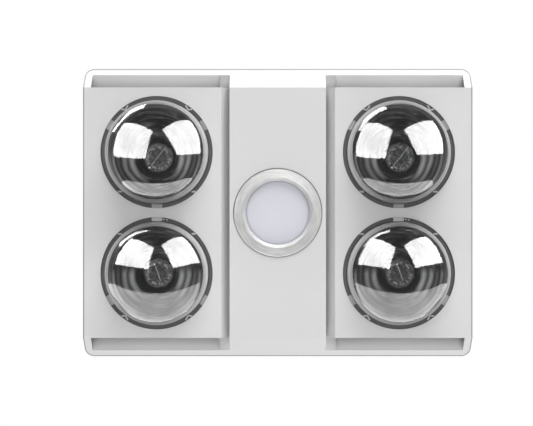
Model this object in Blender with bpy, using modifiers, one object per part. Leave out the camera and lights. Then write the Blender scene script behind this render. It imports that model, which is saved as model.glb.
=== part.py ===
"""A bathroom ceiling heater: four infrared lamps, a centre light and an exhaust fan.

The ceiling's underside is the plane z = 0. The origin is the centre of the ceiling
cut-out, +X runs along the fascia's length and +Z goes up into the roof space.
"""

import math

import bmesh
import bpy
from mathutils import Matrix, Vector

MM = 0.001

# Fits
SEAT_GAP = 0.3 * MM  # between two pieces that rest on each other
RUNNING_GAP = 1.0 * MM  # between a moving piece and what it passes
OVERRUN = 2 * MM  # how far a cutter runs past the face it cuts

# Lamps: R125 reflector lamps with E27 caps
LAMP_DIAMETER = 125 * MM
LAMP_LENGTH = 180 * MM
LAMP_HOLE_GAP = 5.2 * MM  # from the glass to the edge of its hole in the fascia
DOME_HEIGHT = 38 * MM
GLASS_WALL = 1.2 * MM
NECK_RADIUS = 12.4 * MM
NECK_INSERT = 5 * MM  # how much of the neck sits in the cap
CAP_RADIUS = 13.3 * MM
CAP_WALL = 0.4 * MM
CAP_LENGTH = 28 * MM
CAP_CONE = 4 * MM
CAP_BUTTON_RADIUS = 5 * MM
STEM_RADIUS = 5 * MM
STEM_LENGTH = 30 * MM
FILAMENT_WIRE = 1.6 * MM
FILAMENT_SPAN = 34 * MM
FILAMENT_HEIGHT = 34 * MM  # above the lamp's widest ring

# The bulb's back from the cap to the widest ring: share of its height, share of its radius
BULB_BACK_SHARES = [
    (0.94, 0.28),
    (0.84, 0.36),
    (0.52, 0.67),
    (0.22, 0.935),
]

# Lampholders and the contacts in them
HOLDER_RADIUS = 22 * MM
HOLDER_FLANGE_RADIUS = 30 * MM
HOLDER_FLANGE = 3.4 * MM
HOLDER_SHOULDER = 10 * MM
HOLDER_TOP_RADIUS = 14 * MM
HOLDER_BACK = 16 * MM  # porcelain above the screw bore
HOLDER_HEADROOM = 21.2 * MM  # from the lampholders to the housing's top, for their leads
CONTACT_RADIUS = 6 * MM
CONTACT_PLATE = 1.4 * MM
CONTACT_STEM_RADIUS = 2.4 * MM

# Heat shields
SHIELD_GAP = 2 * MM  # from the glass to the shield's mouth
SHIELD_RIM = 5 * MM
SHIELD_SPACING = 7.4 * MM  # between the rims of two neighbours
SHIELD_TOP_SHARE = 0.544  # top radius as a share of the lamp's radius
SHIELD_THROAT_RADIUS = 20 * MM
SHIELD_SHEET = 0.6 * MM

# Fascia: the white moulding under the ceiling
FASCIA_DEPTH = 26 * MM
FASCIA_CORNER = 10 * MM
FASCIA_WALL = 2.5 * MM
CHAMFER_RUN = 24.8 * MM
CENTRE_PAD = 116.4 * MM
GROOVE_WIDTH = 11 * MM
GROOVE_DEPTH = 21 * MM
HOLE_TO_GROOVE = 9.4 * MM
HOLE_TO_END = 21 * MM
HOLE_TO_CHAMFER = 10.3 * MM
SLOT_END_BAND = 10 * MM
SLOT_RISE = 16.3 * MM  # from the face up to the slot's outer edge
SLOT_LIP = 2 * MM
LIP_TOP = 4 * MM  # from the ceiling down to the lip's inner edge
LIP_REACH = 3.2 * MM  # how far the lip runs in behind the pad

# Fascia springs
SPRING_FOOT = 16 * MM
SPRING_SHEET = 0.7 * MM
SPRING_WIDTH = 12 * MM
SPRING_HEIGHT = 40 * MM
SPRING_BOW = 5 * MM
SPRING_BOW_SHARE = 0.8  # where the spring's bow is, up its height

# Lamp tray
TRAY_HEIGHT = 3 * MM  # underside above the ceiling plane
TRAY_SHEET = 0.8 * MM
TRAY_LEDGE = 6.8 * MM  # from the middle opening to the shields' rims
TRAY_MARGIN = 58 * MM  # from the middle opening to the housing's long walls
TRAY_LIP_LENGTH = 200 * MM
TRAY_LIP_HEIGHT = 11 * MM
TRAY_NOTCH_WIDTH = 24 * MM
TRAY_NOTCH_DEPTH = 10 * MM
COLLAR_GAP = 3.7 * MM  # from the glass to the collar's outside
COLLAR_DROP = 20 * MM  # how far the collar hangs below the ceiling plane
GUARD_TAB_WIDTH = 12.5 * MM
GUARD_TAB_HEIGHT = 5 * MM
GUARD_TAB_REACH = 2.2 * MM
GUARD_TABS = 3

# Centre light
LIGHT_HOLE_BAND = 4.3 * MM  # of the centre pad, left beside the light hole
RING_GAP = 0.8 * MM  # from the light hole to the trim ring
RING_SHEET = 1.2 * MM
RING_PROUD = 1.3 * MM  # how far the ring stands below the fascia's face
RING_EDGE = 0.8 * MM
RING_CONE = 9.8 * MM
RING_CONE_RISE = 6.8 * MM
RING_BEVEL = 3.3 * MM
RING_MOUTH_RISE = 9.8 * MM
RING_SKIRT = 15 * MM
DIFFUSER_INSET = 3.6 * MM  # from the ring's outside to the diffuser's edge
DIFFUSER_THICKNESS = 2 * MM
DIFFUSER_SAG = 2.6 * MM
CUP_WALL = 1.5 * MM
CUP_TOP = 24 * MM
LED_BOARD_INSET = 9.1 * MM  # from the ring's outside to the board's edge
LED_BOARD_THICKNESS = 1.6 * MM
BRIDGE_WIDTH = 34 * MM
BRIDGE_SHEET = 1.2 * MM
BRIDGE_OVERHANG = 6.9 * MM  # of the bridge's flat top past the ring's outside
BRIDGE_FOOT = 12 * MM
DRIVER_LENGTH = 74 * MM
DRIVER_WIDTH = 28 * MM
DRIVER_HEIGHT = 22 * MM
DRIVER_EDGE = 1.5 * MM

# Housing
HOUSING_END_INSET = 17 * MM  # of its end walls inside the fascia's outline
HOUSING_SIDE_INSET = 26 * MM
HOUSING_SHEET = 0.8 * MM
FLANGE_WIDTH = 10.5 * MM
FLANGE_SHEET = 1 * MM
VENT_LENGTH = 56 * MM
VENT_WIDTH = 4 * MM
VENT_PITCH = 11 * MM
VENTS_PER_LAMP = 4

# Exhaust fan
FAN_HEIGHT = 81.2 * MM  # from the fan casing's floor to the housing's top
FAN_TO_LAMP_AXIS = 42.3 * MM
VOLUTE_GROWTH = 24 * MM
VOLUTE_TONGUE_ANGLE = math.radians(65)
VOLUTE_SHEET = 0.8 * MM
IMPELLER_GAP = 5 * MM  # from its rim to the casing at the tongue
IMPELLER_LIFT = 10 * MM  # above the casing's floor
IMPELLER_HEADROOM = 11.2 * MM
IMPELLER_BAND = 15 * MM  # from the eye to the rim
IMPELLER_SHEET = 1.2 * MM
IMPELLER_RING = 3 * MM
IMPELLER_BLADES = 12
IMPELLER_BLADE_ANGLE = math.radians(35)
INLET_INSET = 8 * MM  # of the inlet inside the impeller's eye
INLET_LIP = 4 * MM
INLET_RISE = 9 * MM
HUB_RADIUS = 11 * MM
HUB_LENGTH = 16 * MM
SHAFT_RADIUS = 3 * MM
MOTOR_RADIUS = 42 * MM
MOTOR_HEIGHT = 31 * MM
MOTOR_SHOULDER = 6 * MM
MOTOR_FOOT_RADIUS = 50 * MM
MOTOR_FOOT = 2 * MM
MOTOR_END_WALL = 3 * MM

# Duct spigot and backdraft flaps
SPIGOT_RADIUS = 49 * MM
SPIGOT_WALL = 1.2 * MM
SPIGOT_INSIDE = 23 * MM  # length of tube inside the housing's wall
SPIGOT_OUTSIDE = 29.5 * MM
SPIGOT_FLANGE = 4 * MM
SPIGOT_OFF_OUTLET = 0.095 * MM  # of its axis from the middle of the fan's outlet
FLAP_SET_BACK = 6 * MM  # from the spigot's inner end to the flap pin
FLAP_THICKNESS = 1 * MM
FLAP_INNER_EDGE = 4.2 * MM
FLAP_PIN_RADIUS = 2 * MM
KNUCKLE_RADIUS = 3.6 * MM
KNUCKLE_BORE = 2.3 * MM
KNUCKLE_LENGTH = 17 * MM

# Ceiling clamps, one in each corner
CLAMP_INSET = 11 * MM  # screw axis to the housing's inner faces
CLAMP_SCREW_RADIUS = 2.4 * MM
CLAMP_SCREW_END = 12 * MM  # of the screw above the foot as shipped
CLAMP_HEAD_RADIUS = 4.5 * MM
CLAMP_HEAD = 3 * MM
CLAMP_NUT_RADIUS = 5.4 * MM
CLAMP_NUT_BORE = 2.7 * MM
CLAMP_HEIGHT = 8 * MM
CLAMP_ARM_LENGTH = 27 * MM
CLAMP_ARM_WIDTH = 12 * MM
CLAMP_HUB_RADIUS = 8.6 * MM
CLAMP_TRAVEL = 40 * MM
CLAMP_WINDOW_WIDTH = 38 * MM
CLAMP_WINDOW_SILL = 9 * MM
CLAMP_WINDOW_ROOM = 5 * MM  # below the foot at the end of its travel

# Wiring
TERMINAL_OFF_LAMP = 3.7 * MM  # its middle past the lamps' row, towards the end wall
TERMINAL_Y = 4 * MM
TERMINAL_LENGTH = 66 * MM
TERMINAL_DEPTH = 22 * MM
TERMINAL_BASE = 12 * MM
TERMINAL_POLE_HEIGHT = 7 * MM
TERMINAL_POLES = 5
TERMINAL_POLE_SHARE = 0.72  # width of a pole as a share of the pitch
COVER_LENGTH = 100 * MM
COVER_WIDTH = 56 * MM
COVER_HEIGHT = 36 * MM
COVER_WALL = 2 * MM
COVER_EDGE = 3 * MM
GLAND_THREAD_RADIUS = 8 * MM
GLAND_HEX_RADIUS = 12.5 * MM
GLAND_HEX_LENGTH = 6 * MM
GLAND_NOSE_RADIUS = 9.5 * MM
GLAND_NOSE_LENGTH = 9 * MM
GLAND_BORE = 4.5 * MM
GLAND_INSIDE = 9 * MM
CUTOUT_TO_LAMP_AXIS = 48.3 * MM
CUTOUT_RADIUS = 9 * MM
CUTOUT_HEIGHT = 8 * MM
CUTOUT_CAP_RADIUS = 6 * MM
CUTOUT_CAP = 3 * MM

# Sides and steps of round faces
WELD = 0.01 * MM
SMOOTH_ANGLE = math.radians(40)
LAMP_SIDES = 20
LAMP_HOLE_SIDES = 36
DOME_STEPS = 3
FILAMENT_SIDES = 8
HOLDER_SIDES = 12
COLLAR_SIDES = 24
CORNER_STEPS = 4
RING_SIDES = 30
DIFFUSER_STEPS = 2
VOLUTE_STEPS = 22
IMPELLER_SIDES = 24
MOTOR_SIDES = 20
SPIGOT_SIDES = 30
FLAP_STEPS = 12
KNUCKLE_SIDES = 10
CLAMP_SIDES = 12
HEX_SIDES = 6

# Looks: colour, roughness, metallic
WHITE_PLASTIC = ((0.72, 0.72, 0.72), 0.4, 0)
CLEAR_GLASS = ((0.55, 0.57, 0.6), 0.05, 0)
NICKEL = ((0.7, 0.68, 0.62), 0.3, 1)
TUNGSTEN = ((0.35, 0.34, 0.33), 0.45, 1)
PORCELAIN = ((0.85, 0.84, 0.8), 0.25, 0)
BRASS = ((0.78, 0.62, 0.32), 0.35, 1)
BRIGHT_SHEET = ((0.62, 0.63, 0.64), 0.35, 1)
DARK_SHEET = ((0.2, 0.2, 0.2), 0.5, 0)
BRUSHED_ALUMINIUM = ((0.66, 0.66, 0.67), 0.3, 1)
OPAL = ((0.68, 0.68, 0.74), 0.5, 0)
CIRCUIT_BOARD = ((0.8, 0.82, 0.8), 0.5, 0)
GALVANISED = ((0.56, 0.58, 0.6), 0.45, 0.9)
SPRING_STEEL = ((0.5, 0.5, 0.52), 0.3, 1)
ZINC = ((0.66, 0.66, 0.62), 0.35, 1)
BRIGHT_STEEL = ((0.6, 0.6, 0.6), 0.25, 1)
DARK_METAL = ((0.08, 0.08, 0.085), 0.45, 0.3)
GREY_PLASTIC = ((0.3, 0.31, 0.32), 0.5, 0)
IVORY_PLASTIC = ((0.8, 0.77, 0.68), 0.5, 0)
BLACK_PLASTIC = ((0.03, 0.03, 0.03), 0.45, 0)

# Lamps, holders and shields, worked out from the sizes above
LAMP_RADIUS = LAMP_DIAMETER / 2
LAMP_HOLE = LAMP_DIAMETER + 2 * LAMP_HOLE_GAP
COLLAR_RADIUS = LAMP_RADIUS + COLLAR_GAP
SHIELD_MOUTH_RADIUS = LAMP_RADIUS + SHIELD_GAP
SHIELD_RIM_RADIUS = SHIELD_MOUTH_RADIUS + SHIELD_RIM
SHIELD_TOP_RADIUS = LAMP_RADIUS * SHIELD_TOP_SHARE
LAMP_PITCH_X = CENTRE_PAD + 2 * (GROOVE_WIDTH + HOLE_TO_GROOVE) + LAMP_HOLE
LAMP_PITCH_Y = 2 * SHIELD_RIM_RADIUS + SHIELD_SPACING
FACE_Z = -FASCIA_DEPTH
FACE_BACK_Z = FACE_Z + FASCIA_WALL
LAMP_TIP_Z = FACE_Z - DOME_HEIGHT
CAP_TOP = LAMP_TIP_Z + LAMP_LENGTH
CAP_FLOOR = CAP_TOP - CAP_LENGTH
HOLDER_FLOOR = CAP_FLOOR - RUNNING_GAP
HOLDER_BORE_TOP = CAP_TOP + SEAT_GAP + CONTACT_PLATE + SEAT_GAP
HOLDER_TOP = HOLDER_BORE_TOP + HOLDER_BACK
SHIELD_TOP = HOLDER_FLOOR - SEAT_GAP - SHIELD_SHEET

# Fascia, housing and tray
FASCIA_LENGTH = LAMP_PITCH_X + LAMP_HOLE + 2 * HOLE_TO_END
FACE_WIDTH = LAMP_PITCH_Y + LAMP_HOLE + 2 * HOLE_TO_CHAMFER
FASCIA_WIDTH = FACE_WIDTH + 2 * CHAMFER_RUN
HOUSING_LENGTH = FASCIA_LENGTH - 2 * HOUSING_END_INSET
HOUSING_WIDTH = FASCIA_WIDTH - 2 * HOUSING_SIDE_INSET
HOUSING_CEILING = HOLDER_TOP + HOLDER_HEADROOM
HOUSING_HEIGHT = HOUSING_CEILING + HOUSING_SHEET
TRAY_TOP = TRAY_HEIGHT + TRAY_SHEET
TRAY_OPENING_X = LAMP_PITCH_X - 2 * (SHIELD_RIM_RADIUS + TRAY_LEDGE)
TRAY_OPENING_Y = HOUSING_WIDTH - 2 * TRAY_MARGIN

# Centre light
LIGHT_HOLE = CENTRE_PAD - 2 * LIGHT_HOLE_BAND
RING_RADIUS = LIGHT_HOLE / 2 - RING_GAP
RING_FACE_RADIUS = RING_RADIUS - RING_EDGE
RING_CONE_RADIUS = RING_FACE_RADIUS - RING_CONE
RING_MOUTH_RADIUS = RING_CONE_RADIUS - RING_BEVEL
DIFFUSER_RADIUS = RING_RADIUS - DIFFUSER_INSET
DIFFUSER_FLOOR = FACE_Z - RING_PROUD + RING_MOUTH_RISE + RING_SHEET + SEAT_GAP
LED_BOARD_RADIUS = RING_RADIUS - LED_BOARD_INSET

# Fan and duct
VOLUTE_FLOOR = HOUSING_CEILING - FAN_HEIGHT
VOLUTE_END_RADIUS = LAMP_PITCH_X / 2 - FAN_TO_LAMP_AXIS
VOLUTE_START_RADIUS = VOLUTE_END_RADIUS - VOLUTE_GROWTH
IMPELLER_RADIUS = VOLUTE_START_RADIUS - IMPELLER_GAP
IMPELLER_EYE_RADIUS = IMPELLER_RADIUS - IMPELLER_BAND
IMPELLER_FLOOR = VOLUTE_FLOOR + IMPELLER_LIFT
IMPELLER_TOP = HOUSING_CEILING - IMPELLER_HEADROOM
INLET_RADIUS = IMPELLER_EYE_RADIUS - INLET_INSET
OUTLET_NEAR_X = VOLUTE_START_RADIUS * math.cos(VOLUTE_TONGUE_ANGLE)
SPIGOT_X = (OUTLET_NEAR_X + VOLUTE_END_RADIUS) / 2 + SPIGOT_OFF_OUTLET
SPIGOT_FLANGE_RADIUS = SPIGOT_RADIUS + SPIGOT_FLANGE
SPIGOT_Z = HOUSING_HEIGHT - SPIGOT_FLANGE_RADIUS - RUNNING_GAP
SPIGOT_FACE_Y = HOUSING_WIDTH / 2 + SEAT_GAP
SPIGOT_START_Y = HOUSING_WIDTH / 2 - SPIGOT_INSIDE
FLAP_PIN_Y = SPIGOT_START_Y + FLAP_SET_BACK

# Clamps and wiring
CLAMP_X = HOUSING_LENGTH / 2 - HOUSING_SHEET - CLAMP_INSET
CLAMP_Y = HOUSING_WIDTH / 2 - HOUSING_SHEET - CLAMP_INSET
CLAMP_REST = CLAMP_WINDOW_SILL + CLAMP_WINDOW_ROOM + CLAMP_TRAVEL
CLAMP_SCREW_LENGTH = CLAMP_REST + CLAMP_HEIGHT + CLAMP_SCREW_END
TERMINAL_X = -LAMP_PITCH_X / 2 - TERMINAL_OFF_LAMP
CUTOUT_X = -LAMP_PITCH_X / 2 + CUTOUT_TO_LAMP_AXIS

# Corners in the order left rear, right rear, left front, right front
CORNERS = [(-1, -1), (1, -1), (-1, 1), (1, 1)]

# Turns that stand a section drawn in XY across the X or the Y axis
SECTION_TURN = {
    "X": Matrix(((0, 0, 1, 0), (1, 0, 0, 0), (0, 1, 0, 0), (0, 0, 0, 1))),
    "Y": Matrix(((1, 0, 0, 0), (0, 0, -1, 0), (0, 1, 0, 0), (0, 0, 0, 1))),
}


# Scene and objects


def clear_scene():
    for thing in list(bpy.data.objects):
        bpy.data.objects.remove(thing)
    for old in list(bpy.data.collections):
        bpy.data.collections.remove(old)


def new_collection(name):
    made = bpy.data.collections.new(name)
    bpy.context.scene.collection.children.link(made)
    return made


def new_object(name, data, home):
    made = bpy.data.objects.new(name, data)
    home.objects.link(made)
    return made


def new_empty(name, place):
    made = new_object(name, None, PARTS)
    made.location = place
    return made


def mesh_from(name, shape):
    mesh = bpy.data.meshes.new(name)
    shape.to_mesh(mesh)
    shape.free()
    return mesh


def frozen(source):
    """The source's evaluated shape as a mesh of its own, with loose caps welded."""
    bpy.context.view_layer.update()
    seen = source.evaluated_get(bpy.context.evaluated_depsgraph_get())
    mesh = bpy.data.meshes.new_from_object(seen)
    shape = bmesh.new()
    shape.from_mesh(mesh)
    bmesh.ops.remove_doubles(shape, verts=shape.verts, dist=WELD)
    shape.to_mesh(mesh)
    shape.free()
    return mesh


def retire(source):
    bpy.data.objects.remove(source)


def as_tool(thing):
    """Marks a solid that only cuts or joins others."""
    PARTS.objects.unlink(thing)
    CUTTERS.objects.link(thing)
    thing.hide_render = True
    thing.display_type = "WIRE"
    return thing


def combine(part, tool, operation):
    step = part.modifiers.new(operation.title(), "BOOLEAN")
    step.operation = operation
    step.solver = "EXACT"
    step.object = as_tool(tool)


def cut(part, *tools):
    for tool in tools:
        combine(part, tool, "DIFFERENCE")


def fuse(part, *tools):
    for tool in tools:
        combine(part, tool, "UNION")


def finish(part, look):
    """Gives a part its material and shades its round faces smooth."""
    colour, roughness, metallic = look
    surface = bpy.data.materials.new(part.name)
    surface.use_nodes = True
    shader = surface.node_tree.nodes["Principled BSDF"]
    shader.inputs["Base Color"].default_value = (*colour, 1)
    shader.inputs["Roughness"].default_value = roughness
    shader.inputs["Metallic"].default_value = metallic
    part.data.materials.clear()
    part.data.materials.append(surface)
    part.data.shade_smooth()
    part.data.set_sharp_from_angle(angle=SMOOTH_ANGLE)
    return part


# Shapes


def box(name, low, high):
    low, high = Vector(low), Vector(high)
    size = high - low
    shape = bmesh.new()
    place = Matrix.Translation((low + high) / 2) @ Matrix.Diagonal((*size, 1))
    bmesh.ops.create_cube(shape, size=1, matrix=place)
    return new_object(name, mesh_from(name, shape), PARTS)


def cylinder(name, radius, low, high, sides, centre=(0, 0), turn=None):
    """A cylinder along Z from low to high, then turned by the matrix turn."""
    shape = bmesh.new()
    place = Matrix.Translation((*centre, (low + high) / 2))
    if turn:
        place = turn @ place
    bmesh.ops.create_cone(
        shape,
        cap_ends=True,
        segments=sides,
        radius1=radius,
        radius2=radius,
        depth=high - low,
        matrix=place,
    )
    return new_object(name, mesh_from(name, shape), PARTS)


def turned(name, profile, sides, closed=True):
    """A profile of (radius, height) swept round Z."""
    shape = bmesh.new()
    corners = [shape.verts.new((radius, 0, height)) for radius, height in profile]
    for first, second in zip(corners, corners[1:]):
        shape.edges.new((first, second))
    if closed:
        shape.edges.new((corners[-1], corners[0]))
    part = new_object(name, mesh_from(name, shape), PARTS)
    sweep = part.modifiers.new("Turn", "SCREW")
    sweep.steps = sides
    sweep.render_steps = sides
    sweep.use_merge_vertices = True
    sweep.merge_threshold = WELD
    return part


def turned_sheet(name, profile, sides, sheet, offset=-1):
    """A turned open surface given the thickness of a sheet."""
    part = turned(name, profile, sides, closed=False)
    thicken(part, sheet, offset)
    return part


def thicken(part, sheet, offset=-1):
    wall = part.modifiers.new("Sheet", "SOLIDIFY")
    wall.thickness = sheet
    wall.offset = offset
    wall.use_even_offset = True


def plate(name, loops, low, high):
    """A flat outline in XY, with holes as further loops, from height low to high."""
    drawing = bpy.data.curves.new(name, "CURVE")
    drawing.dimensions = "2D"
    drawing.fill_mode = "BOTH"
    drawing.extrude = (high - low) / 2
    for loop in loops:
        line = drawing.splines.new("POLY")
        line.points.add(len(loop) - 1)
        for point, (x, y) in zip(line.points, loop):
            point.co = (x, y, 0, 1)
        line.use_cyclic_u = True
    source = new_object(name + "_outline", drawing, PARTS)
    mesh = frozen(source)
    retire(source)
    mesh.transform(Matrix.Translation((0, 0, (low + high) / 2)))
    return new_object(name, mesh, PARTS)


def beam(name, section, axis, low, high):
    """A section drawn across the X or Y axis and run from low to high along it."""
    part = plate(name, [section], low, high)
    part.data.transform(SECTION_TURN[axis])
    return part


def ribbon(name, path, low, high, sheet):
    """A sheet that stands on a path in XY."""
    shape = bmesh.new()
    feet = [shape.verts.new((x, y, low)) for x, y in path]
    for first, second in zip(feet, feet[1:]):
        shape.edges.new((first, second))
    raised = bmesh.ops.extrude_edge_only(shape, edges=shape.edges)
    tops = [item for item in raised["geom"] if isinstance(item, bmesh.types.BMVert)]
    bmesh.ops.translate(shape, verts=tops, vec=(0, 0, high - low))
    part = new_object(name, mesh_from(name, shape), PARTS)
    thicken(part, sheet)
    return part


def wire(name, path, diameter):
    """A round wire along a path of points, as a mesh with welded caps."""
    drawing = bpy.data.curves.new(name, "CURVE")
    drawing.dimensions = "3D"
    drawing.bevel_depth = diameter / 2
    drawing.bevel_resolution = 1
    drawing.use_fill_caps = True
    line = drawing.splines.new("POLY")
    line.points.add(len(path) - 1)
    for point, place in zip(line.points, path):
        point.co = (*place, 1)
    source = new_object(name + "_line", drawing, PARTS)
    mesh = frozen(source)
    retire(source)
    return new_object(name, mesh, PARTS)


def circle(radius, sides, centre=(0, 0), start=0.0, sweep=math.tau):
    """Points on an arc; a whole circle leaves out its repeated last point."""
    count = sides if sweep == math.tau else sides + 1
    angles = [start + sweep * step / sides for step in range(count)]
    return [
        (centre[0] + radius * math.cos(angle), centre[1] + radius * math.sin(angle))
        for angle in angles
    ]


def bore_round(radius, sides):
    """The corner radius of a many-sided bore in which a round piece can turn."""
    return (radius + SEAT_GAP) / math.cos(math.pi / sides)


def rectangle(length, width, centre=(0, 0)):
    x, y = centre
    return [
        (x + side * length / 2, y + end * width / 2)
        for side, end in [(-1, -1), (1, -1), (1, 1), (-1, 1)]
    ]


def rounded_rectangle(length, width, radius, corner_steps):
    points = []
    for quarter, (side, end) in enumerate([(1, 1), (-1, 1), (-1, -1), (1, -1)]):
        centre = (side * (length / 2 - radius), end * (width / 2 - radius))
        start = quarter * math.pi / 2
        points += circle(radius, corner_steps, centre, start, math.pi / 2)
    return points


def lamp_centres():
    return [(side * LAMP_PITCH_X / 2, end * LAMP_PITCH_Y / 2) for side, end in CORNERS]


def copies(part, places):
    """Places the finished part and its copies, each under an empty of its own."""
    mesh = frozen(part)
    mesh.materials.clear()
    base = part.name
    retire(part)
    made = []
    for number, place in enumerate(places, start=1):
        copy = new_object(f"{base}_{number}", mesh.copy(), PARTS)
        copy.parent = place
        made.append(copy)
    return made


# Fascia


def chamfer_edge(height):
    """Half the fascia's width at a height below the ceiling."""
    return FASCIA_WIDTH / 2 + CHAMFER_RUN * height / FASCIA_DEPTH


def fascia_blank():
    """The solid outline: a rounded block cut back along both long edges."""
    rim = rounded_rectangle(FASCIA_LENGTH, FASCIA_WIDTH, FASCIA_CORNER, CORNER_STEPS)
    blank = plate("fascia", [rim], FACE_Z, 0)
    over_y = chamfer_edge(OVERRUN)
    under_y = chamfer_edge(FACE_Z - OVERRUN)
    section = [
        (-over_y, OVERRUN),
        (-under_y, FACE_Z - OVERRUN),
        (under_y, FACE_Z - OVERRUN),
        (over_y, OVERRUN),
    ]
    reach = FASCIA_LENGTH / 2 + OVERRUN
    combine(blank, beam("fascia_chamfers", section, "X", -reach, reach), "INTERSECT")
    return blank


def fascia_back_hollows():
    """The hollows behind the centre pad and the two side pads."""
    centre_x = CENTRE_PAD / 2 - FASCIA_WALL
    chamfer_back = FASCIA_WALL * math.hypot(CHAMFER_RUN, FASCIA_DEPTH) / FASCIA_DEPTH
    low_y = chamfer_edge(FACE_BACK_Z) - chamfer_back
    high_y = chamfer_edge(OVERRUN) - chamfer_back
    section = [
        (-low_y, FACE_BACK_Z),
        (low_y, FACE_BACK_Z),
        (high_y, OVERRUN),
        (-high_y, OVERRUN),
    ]
    hollows = [beam("hollow_centre", section, "X", -centre_x, centre_x)]

    slope = GROOVE_WIDTH / GROOVE_DEPTH
    groove_back = FASCIA_WALL * math.hypot(GROOVE_WIDTH, GROOVE_DEPTH) / GROOVE_DEPTH
    face_x = CENTRE_PAD / 2 + GROOVE_WIDTH + groove_back
    inner_low = face_x - slope * FASCIA_WALL
    inner_high = face_x - slope * (FASCIA_DEPTH + OVERRUN)
    outer_x = FASCIA_LENGTH / 2 - FASCIA_WALL
    end_y = FACE_WIDTH / 2 - LIP_REACH
    for side in (-1, 1):
        section = [
            (side * inner_low, FACE_BACK_Z),
            (side * outer_x, FACE_BACK_Z),
            (side * outer_x, OVERRUN),
            (side * inner_high, OVERRUN),
        ]
        hollows.append(beam("hollow_side", section, "Y", -end_y, end_y))
    return hollows


def fascia_slots():
    """The four air slots, each a pocket between a pad's edge and the lip behind it."""
    tools = []
    near_x = CENTRE_PAD / 2
    far_x = FASCIA_LENGTH / 2 - SLOT_END_BAND
    mouth_y = FACE_WIDTH / 2
    outer_z = FACE_Z + SLOT_RISE
    outer_y = chamfer_edge(outer_z)
    past_y = mouth_y + OVERRUN
    inner_y = mouth_y - LIP_REACH - OVERRUN
    lip_slope = (SLOT_RISE - FASCIA_DEPTH + LIP_TOP) / (outer_y - mouth_y + LIP_REACH)
    inner_z = outer_z - lip_slope * (outer_y - inner_y)
    for side, end in CORNERS:
        section = [
            (end * mouth_y, FACE_Z - OVERRUN),
            (end * (outer_y + past_y - mouth_y), outer_z - OVERRUN),
            (end * outer_y, outer_z),
            (end * inner_y, inner_z),
            (end * inner_y, FACE_BACK_Z),
            (end * mouth_y, FACE_BACK_Z),
        ]
        low, high = sorted((side * near_x, side * far_x))
        tools.append(beam("slot_pocket", section, "X", low, high))
    return tools


def fascia_rim_hollows():
    """The hollows above the lips, open to the ceiling, that clear the housing's flange."""
    tools = []
    near_x = CENTRE_PAD / 2
    far_x = FASCIA_LENGTH / 2 - SLOT_END_BAND
    outer_z = FACE_Z + SLOT_RISE + SLOT_LIP
    outer_y = chamfer_edge(outer_z) - FASCIA_WALL - SLOT_LIP
    rim_y = FASCIA_WIDTH / 2 - FASCIA_WALL - SLOT_LIP
    inner_y = FACE_WIDTH / 2 - LIP_REACH - OVERRUN
    for side, end in CORNERS:
        section = [
            (end * inner_y, OVERRUN),
            (end * inner_y, SLOT_LIP - LIP_TOP),
            (end * outer_y, outer_z),
            (end * rim_y, 0),
            (end * rim_y, OVERRUN),
        ]
        low, high = sorted((side * near_x, side * far_x))
        tools.append(beam("rim_hollow", section, "X", low, high))
    return tools


def fascia_grooves():
    tools = []
    inner_x = CENTRE_PAD / 2
    outer_x = inner_x + GROOVE_WIDTH
    slope = GROOVE_WIDTH / GROOVE_DEPTH
    reach = FACE_WIDTH / 2 + OVERRUN
    for side in (-1, 1):
        section = [
            (side * inner_x, FACE_Z - OVERRUN),
            (side * (outer_x + slope * OVERRUN), FACE_Z - OVERRUN),
            (side * inner_x, FACE_Z + GROOVE_DEPTH),
        ]
        tools.append(beam("groove", section, "Y", -reach, reach))
    return tools


def flange_recess():
    """Room for the housing's flange, which lies between the ceiling and the fascia."""
    margin = 2 * (FLANGE_WIDTH + RUNNING_GAP)
    outline = rectangle(HOUSING_LENGTH + margin, HOUSING_WIDTH + margin)
    return plate("flange_recess", [outline], -FLANGE_SHEET - SEAT_GAP, OVERRUN)


def build_fascia():
    fascia = fascia_blank()
    cut(fascia, *fascia_back_hollows())
    cut(fascia, *fascia_slots())
    cut(fascia, *fascia_rim_hollows())
    cut(fascia, *fascia_grooves(), flange_recess())
    low, high = FACE_Z - OVERRUN, FACE_BACK_Z + OVERRUN
    for centre in lamp_centres():
        hole = cylinder("lamp_hole", LAMP_HOLE / 2, low, high, LAMP_HOLE_SIDES, centre)
        cut(fascia, hole)
    cut(fascia, cylinder("light_hole", LIGHT_HOLE / 2, low, high, RING_SIDES))
    return finish(fascia, WHITE_PLASTIC)


def build_fascia_springs():
    """Bowed leaf springs that stand on the fascia and grip the housing's end walls."""
    wall_x = HOUSING_LENGTH / 2 - HOUSING_SHEET
    for side, name in ((-1, "left"), (1, "right")):
        foot = FACE_BACK_Z + SEAT_GAP
        outer = wall_x - SEAT_GAP
        inner = outer - SPRING_BOW
        line = [
            (inner - SPRING_FOOT, foot),
            (inner, foot),
            (inner, -LIP_TOP),
            (outer, foot + SPRING_HEIGHT * SPRING_BOW_SHARE),
            (inner, foot + SPRING_HEIGHT),
        ]
        back = [(x - SPRING_SHEET, z) for x, z in line[2:]]
        section = line + back[::-1]
        section.append((inner - SPRING_SHEET, foot + SPRING_SHEET))
        section.append((inner - SPRING_FOOT, foot + SPRING_SHEET))
        section = [(side * x, z) for x, z in section]
        half = SPRING_WIDTH / 2
        spring = beam(f"fascia_spring_{name}", section, "Y", -half, half)
        finish(spring, SPRING_STEEL)


# Lamps


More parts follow.
